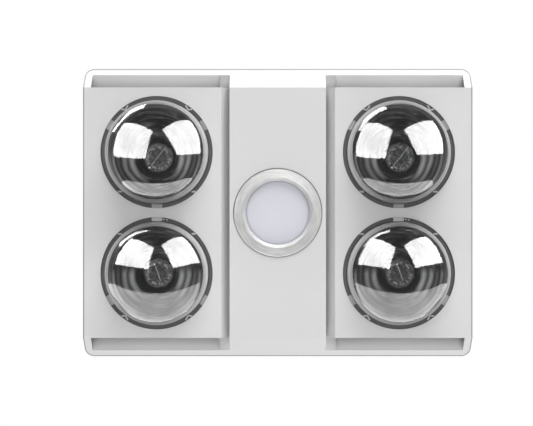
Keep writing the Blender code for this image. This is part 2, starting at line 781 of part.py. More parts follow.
def bulb_profile():
    """Outer profile from the open neck down to the dome's tip."""
    shoulder = CAP_FLOOR - SEAT_GAP - FACE_Z
    points = [(NECK_RADIUS, FACE_Z + shoulder + NECK_INSERT), (NECK_RADIUS, FACE_Z + shoulder)]
    for height_share, radius_share in BULB_BACK_SHARES:
        points.append((LAMP_RADIUS * radius_share, FACE_Z + shoulder * height_share))
    for step in range(DOME_STEPS):
        angle = math.pi / 2 * step / DOME_STEPS
        points.append((LAMP_RADIUS * math.cos(angle), FACE_Z - DOME_HEIGHT * math.sin(angle)))
    points.append((0, LAMP_TIP_Z))
    return points


def build_bulb():
    return turned_sheet("lamp_bulb", bulb_profile(), LAMP_SIDES, GLASS_WALL)


def build_cap():
    inner = CAP_RADIUS - CAP_WALL
    top = CAP_TOP - CAP_CONE
    ceiling = CAP_FLOOR + NECK_INSERT + 2 * SEAT_GAP
    profile = [
        (0, CAP_TOP),
        (CAP_BUTTON_RADIUS, CAP_TOP),
        (CAP_BUTTON_RADIUS + CAP_WALL, top + CAP_WALL),
        (CAP_RADIUS, top),
        (CAP_RADIUS, CAP_FLOOR),
        (inner, CAP_FLOOR),
        (inner, ceiling),
        (0, ceiling),
    ]
    return turned("lamp_cap", profile, HOLDER_SIDES, closed=False)


def build_filament():
    """The glass stem with its two wires and the filament hung between them."""
    root = CAP_FLOOR + NECK_INSERT + SEAT_GAP
    stem_end = root - STEM_LENGTH
    stem = cylinder("lamp_filament", STEM_RADIUS, stem_end, root, FILAMENT_SIDES)
    filament_z = FACE_Z + FILAMENT_HEIGHT
    half = FILAMENT_SPAN / 2
    near = STEM_RADIUS / 2
    path = [
        (-near, 0, stem_end + OVERRUN),
        (-near, 0, stem_end - OVERRUN),
        (-half, 0, filament_z + FILAMENT_WIRE),
        (-half, 0, filament_z),
        (half, 0, filament_z),
        (half, 0, filament_z + FILAMENT_WIRE),
        (near, 0, stem_end - OVERRUN),
        (near, 0, stem_end + OVERRUN),
    ]
    fuse(stem, wire("filament_wire", path, FILAMENT_WIRE))
    return stem


def build_holder():
    bore = bore_round(CAP_RADIUS, HOLDER_SIDES)
    guide = CONTACT_STEM_RADIUS + SEAT_GAP
    profile = [
        (HOLDER_TOP_RADIUS, HOLDER_TOP),
        (HOLDER_RADIUS, HOLDER_TOP - HOLDER_SHOULDER),
        (HOLDER_RADIUS, HOLDER_FLOOR + HOLDER_FLANGE),
        (HOLDER_FLANGE_RADIUS, HOLDER_FLOOR + HOLDER_FLANGE),
        (HOLDER_FLANGE_RADIUS, HOLDER_FLOOR),
        (bore, HOLDER_FLOOR),
        (bore, HOLDER_BORE_TOP),
        (guide, HOLDER_BORE_TOP),
        (guide, HOLDER_TOP),
    ]
    return turned("lamp_holder", profile, HOLDER_SIDES)


def build_contact():
    floor = CAP_TOP + SEAT_GAP
    profile = [
        (0, floor + CONTACT_PLATE + HOLDER_BACK),
        (CONTACT_STEM_RADIUS, floor + CONTACT_PLATE + HOLDER_BACK),
        (CONTACT_STEM_RADIUS, floor + CONTACT_PLATE),
        (CONTACT_RADIUS, floor + CONTACT_PLATE),
        (CONTACT_RADIUS, floor),
        (0, floor),
    ]
    return turned("lamp_contact", profile, CLAMP_SIDES, closed=False)


def build_shield():
    rim = TRAY_TOP + SEAT_GAP
    profile = [
        (SHIELD_THROAT_RADIUS, SHIELD_TOP),
        (SHIELD_TOP_RADIUS, SHIELD_TOP),
        (SHIELD_MOUTH_RADIUS, rim),
        (SHIELD_RIM_RADIUS, rim),
    ]
    return turned_sheet("lamp_shield", profile, LAMP_SIDES, SHIELD_SHEET, offset=1)


def build_lamps():
    axes = [
        new_empty(f"lamp_axis_{number}", (*centre, 0))
        for number, centre in enumerate(lamp_centres(), start=1)
    ]
    for build, look in (
        (build_bulb, CLEAR_GLASS),
        (build_cap, NICKEL),
        (build_filament, TUNGSTEN),
        (build_holder, PORCELAIN),
        (build_contact, BRASS),
        (build_shield, BRIGHT_SHEET),
    ):
        for piece in copies(build(), axes):
            finish(piece, look)


# Lamp tray


def guard_tabs(centre, inward):
    """Three tabs inside a collar, one of them pointing at the fascia's middle line."""
    outer = COLLAR_RADIUS - TRAY_SHEET / 2
    inner = outer - GUARD_TAB_REACH
    tabs = []
    for number in range(GUARD_TABS):
        angle = inward + math.tau * number / GUARD_TABS
        low = (inner, -GUARD_TAB_WIDTH / 2, -COLLAR_DROP)
        high = (outer, GUARD_TAB_WIDTH / 2, GUARD_TAB_HEIGHT - COLLAR_DROP)
        tab = box("guard_tab", low, high)
        place = Matrix.Translation((*centre, 0)) @ Matrix.Rotation(angle, 4, "Z")
        tab.data.transform(place)
        tabs.append(tab)
    return tabs


def tray_outline():
    """The tray's edge, notched at both ends for the fascia springs."""
    half_x = HOUSING_LENGTH / 2 - HOUSING_SHEET - SEAT_GAP
    half_y = HOUSING_WIDTH / 2 - HOUSING_SHEET - SEAT_GAP
    notch_x = half_x - TRAY_NOTCH_DEPTH
    notch_y = TRAY_NOTCH_WIDTH / 2
    right = [
        (half_x, -half_y),
        (half_x, -notch_y),
        (notch_x, -notch_y),
        (notch_x, notch_y),
        (half_x, notch_y),
        (half_x, half_y),
    ]
    left = [(-x, -y) for x, y in right]
    return right + left


def build_tray():
    holes = [rectangle(TRAY_OPENING_X, TRAY_OPENING_Y)]
    inner = COLLAR_RADIUS - TRAY_SHEET
    for centre in lamp_centres():
        holes.append(circle(inner, COLLAR_SIDES, centre))
    for side, end in CORNERS:
        place = (side * CLAMP_X, end * CLAMP_Y)
        holes.append(circle(CLAMP_NUT_BORE, CLAMP_SIDES, place))
    tray = plate("lamp_tray", [tray_outline(), *holes], TRAY_HEIGHT, TRAY_TOP)
    for centre, (side, end) in zip(lamp_centres(), CORNERS):
        loops = [
            circle(COLLAR_RADIUS, COLLAR_SIDES, centre),
            circle(inner, COLLAR_SIDES, centre),
        ]
        collar = plate("collar", loops, -COLLAR_DROP, TRAY_HEIGHT + TRAY_SHEET / 2)
        fuse(tray, collar)
        fuse(tray, *guard_tabs(centre, -end * math.pi / 2))
    half_y = HOUSING_WIDTH / 2 - HOUSING_SHEET - SEAT_GAP
    for end in (-1, 1):
        near, far = sorted((end * half_y, end * (half_y - TRAY_SHEET)))
        low = (-TRAY_LIP_LENGTH / 2, near, TRAY_HEIGHT)
        high = (TRAY_LIP_LENGTH / 2, far, TRAY_HEIGHT + TRAY_LIP_HEIGHT)
        fuse(tray, box("tray_lip", low, high))
    return finish(tray, DARK_SHEET)


# Centre light


def build_trim_ring():
    """The dished ring: skirt, rounded edge, brushed cone and inner bevel."""
    low = FACE_Z - RING_PROUD
    profile = [
        (RING_RADIUS, low + RING_SKIRT),
        (RING_RADIUS, low + RING_EDGE),
        (RING_FACE_RADIUS, low),
        (RING_CONE_RADIUS, low + RING_CONE_RISE),
        (RING_MOUTH_RADIUS, low + RING_MOUTH_RISE),
    ]
    ring = turned_sheet("light_trim_ring", profile, RING_SIDES, RING_SHEET)
    return finish(ring, BRUSHED_ALUMINIUM)


def build_diffuser():
    """An opal disc whose middle sags a little through the ring's mouth."""
    floor = DIFFUSER_FLOOR
    sagging = RING_MOUTH_RADIUS - 2 * RING_SHEET
    profile = [
        (0, floor + DIFFUSER_THICKNESS),
        (DIFFUSER_RADIUS, floor + DIFFUSER_THICKNESS),
        (DIFFUSER_RADIUS, floor),
    ]
    for step in range(DIFFUSER_STEPS):
        angle = math.pi / 2 * step / DIFFUSER_STEPS
        profile.append((sagging * math.cos(angle), floor - DIFFUSER_SAG * math.sin(angle)))
    profile.append((0, floor - DIFFUSER_SAG))
    return finish(turned("light_diffuser", profile, RING_SIDES, closed=False), OPAL)


def build_cup():
    outer = RING_RADIUS - RING_SHEET - SEAT_GAP
    inner = outer - CUP_WALL
    low = DIFFUSER_FLOOR + DIFFUSER_THICKNESS + SEAT_GAP
    profile = [
        (0, CUP_TOP),
        (outer, CUP_TOP),
        (outer, low),
        (inner, low),
        (inner, CUP_TOP - CUP_WALL),
        (0, CUP_TOP - CUP_WALL),
    ]
    return finish(turned("light_cup", profile, RING_SIDES, closed=False), BRIGHT_SHEET)


def build_led_board():
    top = CUP_TOP - CUP_WALL - SEAT_GAP
    low = top - LED_BOARD_THICKNESS
    board = cylinder("led_board", LED_BOARD_RADIUS, low, top, LAMP_SIDES)
    return finish(board, CIRCUIT_BOARD)


def build_bridge():
    """A hat-shaped strap over the light cup, with its feet on the tray."""
    high = CUP_TOP + SEAT_GAP
    low = TRAY_TOP + SEAT_GAP
    top_y = RING_RADIUS + BRIDGE_OVERHANG
    leg_y = TRAY_OPENING_Y / 2 + SEAT_GAP
    foot_y = leg_y + BRIDGE_FOOT
    upper = [(top_y, high), (leg_y, low), (foot_y, low)]
    over = [(y, z + BRIDGE_SHEET) for y, z in upper]
    half = upper + over[::-1]
    mirrored = [(-y, z) for y, z in half[::-1]]
    bridge = beam("light_bridge", half + mirrored, "X", -BRIDGE_WIDTH / 2, BRIDGE_WIDTH / 2)
    return finish(bridge, BRIGHT_SHEET)


def build_driver():
    floor = TRAY_TOP + SEAT_GAP
    near_y = -(HOUSING_WIDTH / 2 - HOUSING_SHEET - SEAT_GAP - TRAY_SHEET - RUNNING_GAP)
    low = (-DRIVER_LENGTH / 2, near_y, floor)
    high = (DRIVER_LENGTH / 2, near_y + DRIVER_WIDTH, floor + DRIVER_HEIGHT)
    driver = box("led_driver", low, high)
    soften(driver, DRIVER_EDGE)
    return finish(driver, GREY_PLASTIC)


def soften(part, width):
    edge = part.modifiers.new("Edges", "BEVEL")
    edge.width = width
    edge.segments = 1
    edge.limit_method = "ANGLE"


# Housing


def vent_slots():
    """Rows of slots in the housing's top over each lamp."""
    tools = []
    low, high = HOUSING_CEILING - OVERRUN, HOUSING_HEIGHT + OVERRUN
    for side, end in CORNERS:
        for row in range(VENTS_PER_LAMP):
            x = side * (LAMP_PITCH_X / 2 + VENT_PITCH * (row - (VENTS_PER_LAMP - 1) / 2))
            y = end * LAMP_PITCH_Y / 2
            outline = rectangle(VENT_WIDTH, VENT_LENGTH, (x, y))
            tools.append(plate("vent", [outline], low, high))
    return tools


def clamp_windows():
    """The openings in the end walls through which the clamp feet swing."""
    tools = []
    wall = HOUSING_LENGTH / 2
    lintel = CLAMP_REST + CLAMP_HEIGHT + 2 * RUNNING_GAP
    for side, end in CORNERS:
        outer_y = CLAMP_Y + CLAMP_HUB_RADIUS
        x = sorted((side * (wall - HOUSING_SHEET - OVERRUN), side * (wall + OVERRUN)))
        y = sorted((end * outer_y, end * (outer_y - CLAMP_WINDOW_WIDTH)))
        tools.append(box("clamp_window", (x[0], y[0], CLAMP_WINDOW_SILL), (x[1], y[1], lintel)))
    return tools


def build_housing():
    half_x, half_y = HOUSING_LENGTH / 2, HOUSING_WIDTH / 2
    housing = box("housing", (-half_x, -half_y, -FLANGE_SHEET), (half_x, half_y, HOUSING_HEIGHT))
    loops = [
        rectangle(HOUSING_LENGTH + 2 * FLANGE_WIDTH, HOUSING_WIDTH + 2 * FLANGE_WIDTH),
        rectangle(HOUSING_LENGTH - HOUSING_SHEET, HOUSING_WIDTH - HOUSING_SHEET),
    ]
    fuse(housing, plate("flange", loops, -FLANGE_SHEET, 0))
    inner_x, inner_y = half_x - HOUSING_SHEET, half_y - HOUSING_SHEET
    low = (-inner_x, -inner_y, -FLANGE_SHEET - OVERRUN)
    cut(housing, box("housing_hollow", low, (inner_x, inner_y, HOUSING_CEILING)))
    cut(housing, *clamp_windows(), *vent_slots())
    reach = (half_y - HOUSING_SHEET - OVERRUN, half_y + OVERRUN)
    cut(housing, across_y("outlet_hole", SPIGOT_RADIUS + SEAT_GAP, *reach, SPIGOT_SIDES))
    reach = (HOUSING_CEILING - OVERRUN, HOUSING_HEIGHT + OVERRUN)
    cut(housing, cylinder("shaft_hole", HUB_RADIUS, *reach, HOLDER_SIDES))
    place = (TERMINAL_X, TERMINAL_Y - TERMINAL_DEPTH)
    cut(housing, cylinder("wire_hole", GLAND_BORE, *reach, HOLDER_SIDES, place))
    return finish(housing, GALVANISED)


# Exhaust fan


def volute_path():
    """The fan casing's wall: outlet side, tongue, spiral and outer outlet side."""
    end_y = SPIGOT_START_Y - SEAT_GAP
    spiral = []
    sweep = math.tau - VOLUTE_TONGUE_ANGLE
    for step in range(VOLUTE_STEPS + 1):
        share = step / VOLUTE_STEPS
        angle = VOLUTE_TONGUE_ANGLE + sweep * share
        radius = VOLUTE_START_RADIUS + (VOLUTE_END_RADIUS - VOLUTE_START_RADIUS) * share
        spiral.append((radius * math.cos(angle), radius * math.sin(angle)))
    start = (spiral[0][0], end_y)
    end = (spiral[-1][0], end_y)
    return [start, *spiral, end]


def build_volute():
    low = VOLUTE_FLOOR + SEAT_GAP
    volute = ribbon("fan_volute", volute_path(), low, HOUSING_CEILING - SEAT_GAP, VOLUTE_SHEET)
    return finish(volute, GALVANISED)


def build_inlet_plate():
    """The fan casing's floor with its round inlet and bellmouth."""
    low = VOLUTE_FLOOR - VOLUTE_SHEET
    loops = [volute_path(), circle(INLET_RADIUS + INLET_LIP / 2, RING_SIDES)]
    floor = plate("fan_inlet_plate", loops, low, VOLUTE_FLOOR)
    outer = INLET_RADIUS + INLET_LIP
    profile = [
        (INLET_RADIUS + VOLUTE_SHEET, low + INLET_RISE),
        (outer, VOLUTE_FLOOR),
        (outer, low),
        (outer - VOLUTE_SHEET, low - VOLUTE_SHEET),
        (INLET_RADIUS, low + INLET_RISE),
    ]
    fuse(floor, turned("bellmouth", profile, RING_SIDES))
    return finish(floor, GALVANISED)


def impeller_blade(angle):
    """One flat blade, leaning forward from the eye to the rim."""
    chord = (IMPELLER_RADIUS - IMPELLER_EYE_RADIUS) / math.cos(IMPELLER_BLADE_ANGLE)
    inset = IMPELLER_RING / 2
    low = (inset, -IMPELLER_SHEET / 2, IMPELLER_FLOOR + IMPELLER_RING / 2)
    high = (chord - IMPELLER_RING, IMPELLER_SHEET / 2, IMPELLER_TOP - IMPELLER_SHEET / 2)
    blade = box("blade", low, high)
    lean = Matrix.Rotation(IMPELLER_BLADE_ANGLE, 4, "Z")
    shift = Matrix.Translation((IMPELLER_EYE_RADIUS, 0, 0))
    blade.data.transform(Matrix.Rotation(angle, 4, "Z") @ shift @ lean)
    return blade


def build_impeller():
    """A backplate with hub, a ring at the inlet side and blades between them."""
    top = IMPELLER_TOP
    bore = SHAFT_RADIUS + SEAT_GAP
    profile = [
        (bore, top),
        (IMPELLER_RADIUS, top),
        (IMPELLER_RADIUS, top - IMPELLER_SHEET),
        (HUB_RADIUS, top - IMPELLER_SHEET),
        (HUB_RADIUS, top - HUB_LENGTH),
        (bore, top - HUB_LENGTH),
    ]
    impeller = turned("impeller", profile, IMPELLER_SIDES)
    loops = [circle(IMPELLER_RADIUS, IMPELLER_SIDES), circle(IMPELLER_EYE_RADIUS, IMPELLER_SIDES)]
    ring = plate("impeller_ring", loops, IMPELLER_FLOOR, IMPELLER_FLOOR + IMPELLER_RING)
    fuse(impeller, ring)
    for number in range(IMPELLER_BLADES):
        fuse(impeller, impeller_blade(math.tau * number / IMPELLER_BLADES))
    return finish(impeller, GREY_PLASTIC)


def build_motor():
    low = HOUSING_HEIGHT + SEAT_GAP
    top = low + MOTOR_HEIGHT
    bore = SHAFT_RADIUS + SEAT_GAP
    ceiling = top - MOTOR_END_WALL
    profile = [
        (0, top),
        (MOTOR_RADIUS - MOTOR_SHOULDER, top),
        (MOTOR_RADIUS, top - MOTOR_SHOULDER),
        (MOTOR_RADIUS, low + MOTOR_FOOT),
        (MOTOR_FOOT_RADIUS, low + MOTOR_FOOT),
        (MOTOR_FOOT_RADIUS, low),
        (bore, low),
        (bore, ceiling),
        (0, ceiling),
    ]
    finish(turned("fan_motor", profile, MOTOR_SIDES, closed=False), DARK_METAL)
    low = IMPELLER_TOP - HUB_LENGTH
    high = ceiling - SEAT_GAP
    shaft = cylinder("motor_shaft", SHAFT_RADIUS, low, high, HOLDER_SIDES)
    finish(shaft, BRIGHT_STEEL)


# Duct spigot and flaps


def across_y(name, radius, low, high, sides):
    """A cylinder on the duct's axis, from low to high along Y."""
    solid = cylinder(name, radius, low, high, sides)
    solid.data.transform(duct_turn())
    return solid


def duct_turn():
    place = Matrix.Translation((SPIGOT_X, 0, SPIGOT_Z))
    return place @ Matrix.Rotation(-math.pi / 2, 4, "X")


def build_spigot():
    low = SPIGOT_START_Y
    high = SPIGOT_FACE_Y + SPIGOT_OUTSIDE
    bore = SPIGOT_RADIUS - SPIGOT_WALL
    profile = [
        (SPIGOT_RADIUS, high),
        (SPIGOT_RADIUS, SPIGOT_FACE_Y + SPIGOT_WALL),
        (SPIGOT_FLANGE_RADIUS, SPIGOT_FACE_Y + SPIGOT_WALL),
        (SPIGOT_FLANGE_RADIUS, SPIGOT_FACE_Y),
        (SPIGOT_RADIUS, SPIGOT_FACE_Y),
        (SPIGOT_RADIUS, low),
        (bore, low),
        (bore, high),
    ]
    spigot = turned("duct_spigot", profile, SPIGOT_SIDES)
    spigot.matrix_world = duct_turn()
    return finish(spigot, WHITE_PLASTIC)


def half_flap(side, name, knuckle_floors):
    """Half a disc with two knuckles on the pin, modelled about the pin's axis."""
    radius = SPIGOT_RADIUS - SPIGOT_WALL - RUNNING_GAP
    start = math.acos(FLAP_INNER_EDGE / radius)
    arc = circle(radius, FLAP_STEPS, (0, 0), -start, 2 * start)
    outline = [(side * x, z) for x, z in arc]
    flap = plate(name, [outline], -FLAP_THICKNESS / 2, FLAP_THICKNESS / 2)
    flap.data.transform(Matrix.Rotation(math.pi / 2, 4, "X"))
    overlap = (KNUCKLE_RADIUS + KNUCKLE_BORE) / 2
    for floor in knuckle_floors:
        ceiling = floor + KNUCKLE_LENGTH
        x = sorted((side * overlap, side * (FLAP_INNER_EDGE + FLAP_THICKNESS)))
        half = FLAP_THICKNESS / 2
        tab = box("flap_tab", (x[0], -half, floor), (x[1], half, ceiling))
        profile = [
            (KNUCKLE_RADIUS, ceiling),
            (KNUCKLE_RADIUS, floor),
            (KNUCKLE_BORE, floor),
            (KNUCKLE_BORE, ceiling),
        ]
        fuse(flap, turned("knuckle", profile, KNUCKLE_SIDES), tab)
    mesh = frozen(flap)
    retire(flap)
    flap = new_object(name, mesh, PARTS)
    flap.location = (SPIGOT_X, FLAP_PIN_Y, SPIGOT_Z)
    return finish(flap, GREY_PLASTIC)


def build_flaps():
    pitch = KNUCKLE_LENGTH + RUNNING_GAP
    half_flap(-1, "backdraft_flap_left", [-2 * pitch, 0])
    half_flap(1, "backdraft_flap_right", [-pitch, pitch])
    reach = SPIGOT_RADIUS - SPIGOT_WALL - 2 * SEAT_GAP
    pin = cylinder("flap_pin", FLAP_PIN_RADIUS, -reach, reach, KNUCKLE_SIDES)
    pin.location = (SPIGOT_X, FLAP_PIN_Y, SPIGOT_Z)
    finish(pin, BRIGHT_STEEL)


# Ceiling clamps


def build_clamp_screw():
    """Head under the tray, shank up past the foot's highest place."""
    head_top = TRAY_HEIGHT - SEAT_GAP
    profile = [
        (0, CLAMP_SCREW_LENGTH),
        (CLAMP_SCREW_RADIUS, CLAMP_SCREW_LENGTH),
        (CLAMP_SCREW_RADIUS, head_top),
        (CLAMP_HEAD_RADIUS, head_top),
        (CLAMP_HEAD_RADIUS, head_top - CLAMP_HEAD),
        (0, head_top - CLAMP_HEAD),
    ]
    return turned("clamp_screw", profile, CLAMP_SIDES, closed=False)


def build_clamp_nut():
    low = CLAMP_REST
    profile = [
        (CLAMP_NUT_RADIUS, low + CLAMP_HEIGHT),
        (CLAMP_NUT_RADIUS, low),
        (CLAMP_NUT_BORE, low),
        (CLAMP_NUT_BORE, low + CLAMP_HEIGHT),
    ]
    return turned("clamp_nut", profile, CLAMP_SIDES)


def clamp_foot(side, end):
    """The swing foot, stowed along the end wall and pointing to the middle."""
    bore = CLAMP_NUT_RADIUS + SEAT_GAP
    low = CLAMP_REST
    high = low + CLAMP_HEIGHT
    half = CLAMP_ARM_WIDTH / 2
    hub = circle(CLAMP_HUB_RADIUS, CLAMP_SIDES)
    foot = plate("clamp_foot_hub", [hub], low, high)
    y = sorted((-end * bore, -end * CLAMP_ARM_LENGTH))
    fuse(foot, box("clamp_arm", (-half, y[0], low), (half, y[1], high)))
    cut(foot, cylinder("clamp_bore", bore, low - OVERRUN, high + OVERRUN, CLAMP_SIDES))
    return foot


def build_clamps():
    axes = [
        new_empty(f"clamp_axis_{number}", (side * CLAMP_X, end * CLAMP_Y, 0))
        for number, (side, end) in enumerate(CORNERS, start=1)
    ]
    for piece in copies(build_clamp_screw(), axes):
        finish(piece, ZINC)
    for piece in copies(build_clamp_nut(), axes):
        finish(piece, BRASS)
    for number, (axis, (side, end)) in enumerate(zip(axes, CORNERS), start=1):
        shaped = clamp_foot(side, end)
        mesh = frozen(shaped)
        retire(shaped)
        foot = new_object(f"clamp_foot_{number}", mesh, PARTS)
        foot.parent = axis
        finish(foot, GREY_PLASTIC)


# Wiring


def build_terminals():
    """A row of poles on a base, on top of the housing."""
    floor = HOUSING_HEIGHT + SEAT_GAP
    half_x, half_y = TERMINAL_LENGTH / 2, TERMINAL_DEPTH / 2
    low = (TERMINAL_X - half_x, TERMINAL_Y - half_y, floor)
    high = (TERMINAL_X + half_x, TERMINAL_Y + half_y, floor + TERMINAL_BASE)
    block = box("terminal_block", low, high)
    pitch = TERMINAL_LENGTH / TERMINAL_POLES
    half_pole = pitch * TERMINAL_POLE_SHARE / 2
    for number in range(TERMINAL_POLES):
        x = low[0] + pitch / 2 + pitch * number
        base = (x - half_pole, low[1] + COVER_WALL, high[2] - COVER_WALL)
        top = (x + half_pole, high[1] - COVER_WALL, high[2] + TERMINAL_POLE_HEIGHT)
        fuse(block, box("pole", base, top))
    return finish(block, IVORY_PLASTIC)


def build_terminal_cover():
    floor = HOUSING_HEIGHT + SEAT_GAP
    half_x, half_y = COVER_LENGTH / 2, COVER_WIDTH / 2
    low = Vector((TERMINAL_X - half_x, TERMINAL_Y - half_y, floor - COVER_EDGE))
    high = Vector((TERMINAL_X + half_x, TERMINAL_Y + half_y, floor + COVER_HEIGHT))
    cover = box("terminal_cover", low, high)
    soften(cover, COVER_EDGE)
    over = Vector((OVERRUN, OVERRUN, OVERRUN))
    cut(cover, box("cover_trim", low - over, (high.x + OVERRUN, high.y + OVERRUN, floor)))
    wall = Vector((COVER_WALL, COVER_WALL, -OVERRUN))
    inside_high = high - Vector((COVER_WALL, COVER_WALL, COVER_WALL))
    cut(cover, box("cover_hollow", low + wall, inside_high))
    hole = cylinder(
        "gland_hole", GLAND_THREAD_RADIUS + SEAT_GAP, -OVERRUN, COVER_WALL + OVERRUN, HOLDER_SIDES
    )
    hole.data.transform(gland_turn())
    cut(cover, hole)
    return finish(cover, GREY_PLASTIC)


def gland_turn():
    """Stands the gland on the cover's left wall, pointing inwards along +X."""
    height = HOUSING_HEIGHT + SEAT_GAP + COVER_HEIGHT / 2
    place = Matrix.Translation((TERMINAL_X - COVER_LENGTH / 2, TERMINAL_Y, height))
    return place @ Matrix.Rotation(math.pi / 2, 4, "Y")


def build_gland():
    """Thread through the cover's wall, hexagon and nose outside, bored through."""
    outside = -SEAT_GAP
    profile = [
        (GLAND_THREAD_RADIUS, GLAND_INSIDE),
        (GLAND_THREAD_RADIUS, outside - GLAND_HEX_LENGTH / 2),
        (GLAND_NOSE_RADIUS, outside - GLAND_HEX_LENGTH / 2),
        (GLAND_NOSE_RADIUS, outside - GLAND_HEX_LENGTH - GLAND_NOSE_LENGTH / 2),
        (GLAND_BORE + COVER_WALL, outside - GLAND_HEX_LENGTH - GLAND_NOSE_LENGTH),
        (0, outside - GLAND_HEX_LENGTH - GLAND_NOSE_LENGTH),
    ]
    profile = [(0, GLAND_INSIDE), *profile]
    gland = turned("cable_gland", profile, HOLDER_SIDES, closed=False)
    hexagon = cylinder("gland_hex", GLAND_HEX_RADIUS, outside - GLAND_HEX_LENGTH, outside, HEX_SIDES)
    fuse(gland, hexagon)
    low = outside - GLAND_HEX_LENGTH - GLAND_NOSE_LENGTH - OVERRUN
    cut(gland, cylinder("gland_bore", GLAND_BORE, low, GLAND_INSIDE + OVERRUN, HOLDER_SIDES))
    mesh = frozen(gland)
    retire(gland)
    mesh.transform(gland_turn())
    return finish(new_object("cable_gland", mesh, PARTS), GREY_PLASTIC)


def build_cutout():
    """A disc thermostat on the tray between the left-hand shields."""
    floor = TRAY_TOP + SEAT_GAP
    top = floor + CUTOUT_HEIGHT
    profile = [
        (0, top),
        (CUTOUT_CAP_RADIUS, top),
        (CUTOUT_CAP_RADIUS, top - CUTOUT_CAP),
        (CUTOUT_RADIUS, top - CUTOUT_CAP),
        (CUTOUT_RADIUS, floor),
        (0, floor),
    ]
    cutout = turned("thermal_cutout", profile, HOLDER_SIDES, closed=False)
    cutout.location = (CUTOUT_X, 0, 0)
    return finish(cutout, BLACK_PLASTIC)


clear_scene()
PARTS = new_collection("bathroom_ceiling_heater")
CUTTERS = new_collection("cutters")

build_fascia()
build_fascia_springs()
build_lamps()
build_tray()
build_trim_ring()
build_diffuser()
build_cup()
build_led_board()
build_bridge()
build_driver()
build_housing()
build_volute()
build_inlet_plate()
build_impeller()
build_motor()
build_spigot()
build_flaps()
build_clamps()
build_terminals()
build_terminal_cover()
build_gland()
build_cutout()
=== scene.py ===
"""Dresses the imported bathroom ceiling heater: finer pieces, finishes, studio light and camera.

Lengths are in metres in the part's frame. The ceiling's underside is z = 0, the room is
below it, +X runs along the fascia and +Y points to the duct spigot.
"""

import math

import bmesh
import bpy
from mathutils import Matrix, Vector


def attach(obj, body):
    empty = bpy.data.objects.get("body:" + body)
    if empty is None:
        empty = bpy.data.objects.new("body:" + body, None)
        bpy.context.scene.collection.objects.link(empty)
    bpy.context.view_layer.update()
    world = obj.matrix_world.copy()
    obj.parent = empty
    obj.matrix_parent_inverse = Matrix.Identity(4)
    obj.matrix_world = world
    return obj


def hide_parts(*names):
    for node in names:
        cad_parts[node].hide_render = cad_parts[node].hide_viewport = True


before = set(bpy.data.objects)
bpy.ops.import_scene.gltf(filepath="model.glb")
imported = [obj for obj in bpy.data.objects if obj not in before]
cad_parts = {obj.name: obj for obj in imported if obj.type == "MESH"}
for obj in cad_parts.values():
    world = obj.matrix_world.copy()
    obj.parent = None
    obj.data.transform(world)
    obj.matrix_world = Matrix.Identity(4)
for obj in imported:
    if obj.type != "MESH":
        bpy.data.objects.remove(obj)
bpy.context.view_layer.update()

MM = 0.001

# Sizes repeated from the part
FASCIA_LENGTH, FASCIA_WIDTH, FASCIA_DEPTH = 470 * MM, 352 * MM, 26 * MM
FASCIA_CORNER, FASCIA_WALL, CHAMFER_RUN = 10 * MM, 2.5 * MM, 24.8 * MM
FACE_WIDTH = FASCIA_WIDTH - 2 * CHAMFER_RUN
CENTRE_PAD, GROOVE_WIDTH, GROOVE_DEPTH = 116.4 * MM, 11 * MM, 21 * MM
SLOT_END_BAND, SLOT_RISE, SLOT_LIP = 9.3 * MM, 17.4 * MM, 2 * MM
LIP_TOP, LIP_REACH = 4 * MM, 3.2 * MM
FACE_Z = -FASCIA_DEPTH
FACE_BACK_Z = FACE_Z + FASCIA_WALL
LAMP_X, LAMP_Y, LAMP_RADIUS = 146.3 * MM, 73.2 * MM, 62.5 * MM
LAMP_HOLE, DOME_HEIGHT, CAP_TOP, CAP_FLOOR = 67.7 * MM, 38 * MM, 116 * MM, 88 * MM
BAND_RADIUS = 57.6 * MM  # inside this ring the front of the bulb is clear
CAP_RADIUS = 13.3 * MM
TRAY_LOW, TRAY_TOP, COLLAR_RADIUS = 3 * MM, 3.8 * MM, 66.2 * MM
RING_RADIUS = 53.1 * MM
HOUSING_X, HOUSING_Y, HOUSING_TOP, HOUSING_SHEET = 218 * MM, 150 * MM, 156 * MM, 0.8 * MM
CLAMP_X, CLAMP_Y = 206.2 * MM, 138.2 * MM
SPIGOT_X, SPIGOT_Z, SPIGOT_START_Y, SPIGOT_RADIUS = 69 * MM, 102 * MM, 127 * MM, 49 * MM
VOLUTE_FLOOR, HOUSING_CEILING = 74 * MM, 155.2 * MM
GAP, OVERRUN = 0.3 * MM, 2 * MM
TERMINAL_X, TERMINAL_Y, COVER_FLOOR = -150 * MM, 4 * MM, HOUSING_TOP + GAP

# Heights inside a bulb
LINING_LOW, LINING_TOP, BAFFLE_Z, FILAMENT_Z = FACE_Z, 24 * MM, 30 * MM, 12 * MM

CORNERS = [(-1, -1), (1, -1), (-1, 1), (1, 1)]
LAMPS = [(n, Vector((side * LAMP_X, end * LAMP_Y, 0)), end) for n, (side, end) in enumerate(CORNERS, 1)]


# Shapes


def mm(points, base=0.0, inner=0.0):
    """Profile points written in millimetres, counted from a height and a radius."""
    return [(inner + radius * MM, base + height * MM) for radius, height in points]


def sheet_of(line, aside, rise):
    """A profile line with its far side, as a thin wall."""
    return line + [(radius + aside, height + rise) for radius, height in line[::-1]]


def shift(x, y, z):
    return Matrix.Translation((x, y, z))


def up(height):
    return Vector((0, 0, height))


def polar(radius, turn, height=0.0):
    return Vector((radius * math.cos(turn), radius * math.sin(turn), height))


def add(name, mesh, place=(0, 0, 0)):
    thing = bpy.data.objects.new(name, mesh)
    bpy.context.scene.collection.objects.link(thing)
    thing.location = place
    return thing


def mesh_of(name, shape):
    bmesh.ops.recalc_face_normals(shape, faces=shape.faces)
    mesh = bpy.data.meshes.new(name)
    shape.to_mesh(mesh)
    shape.free()
    return mesh


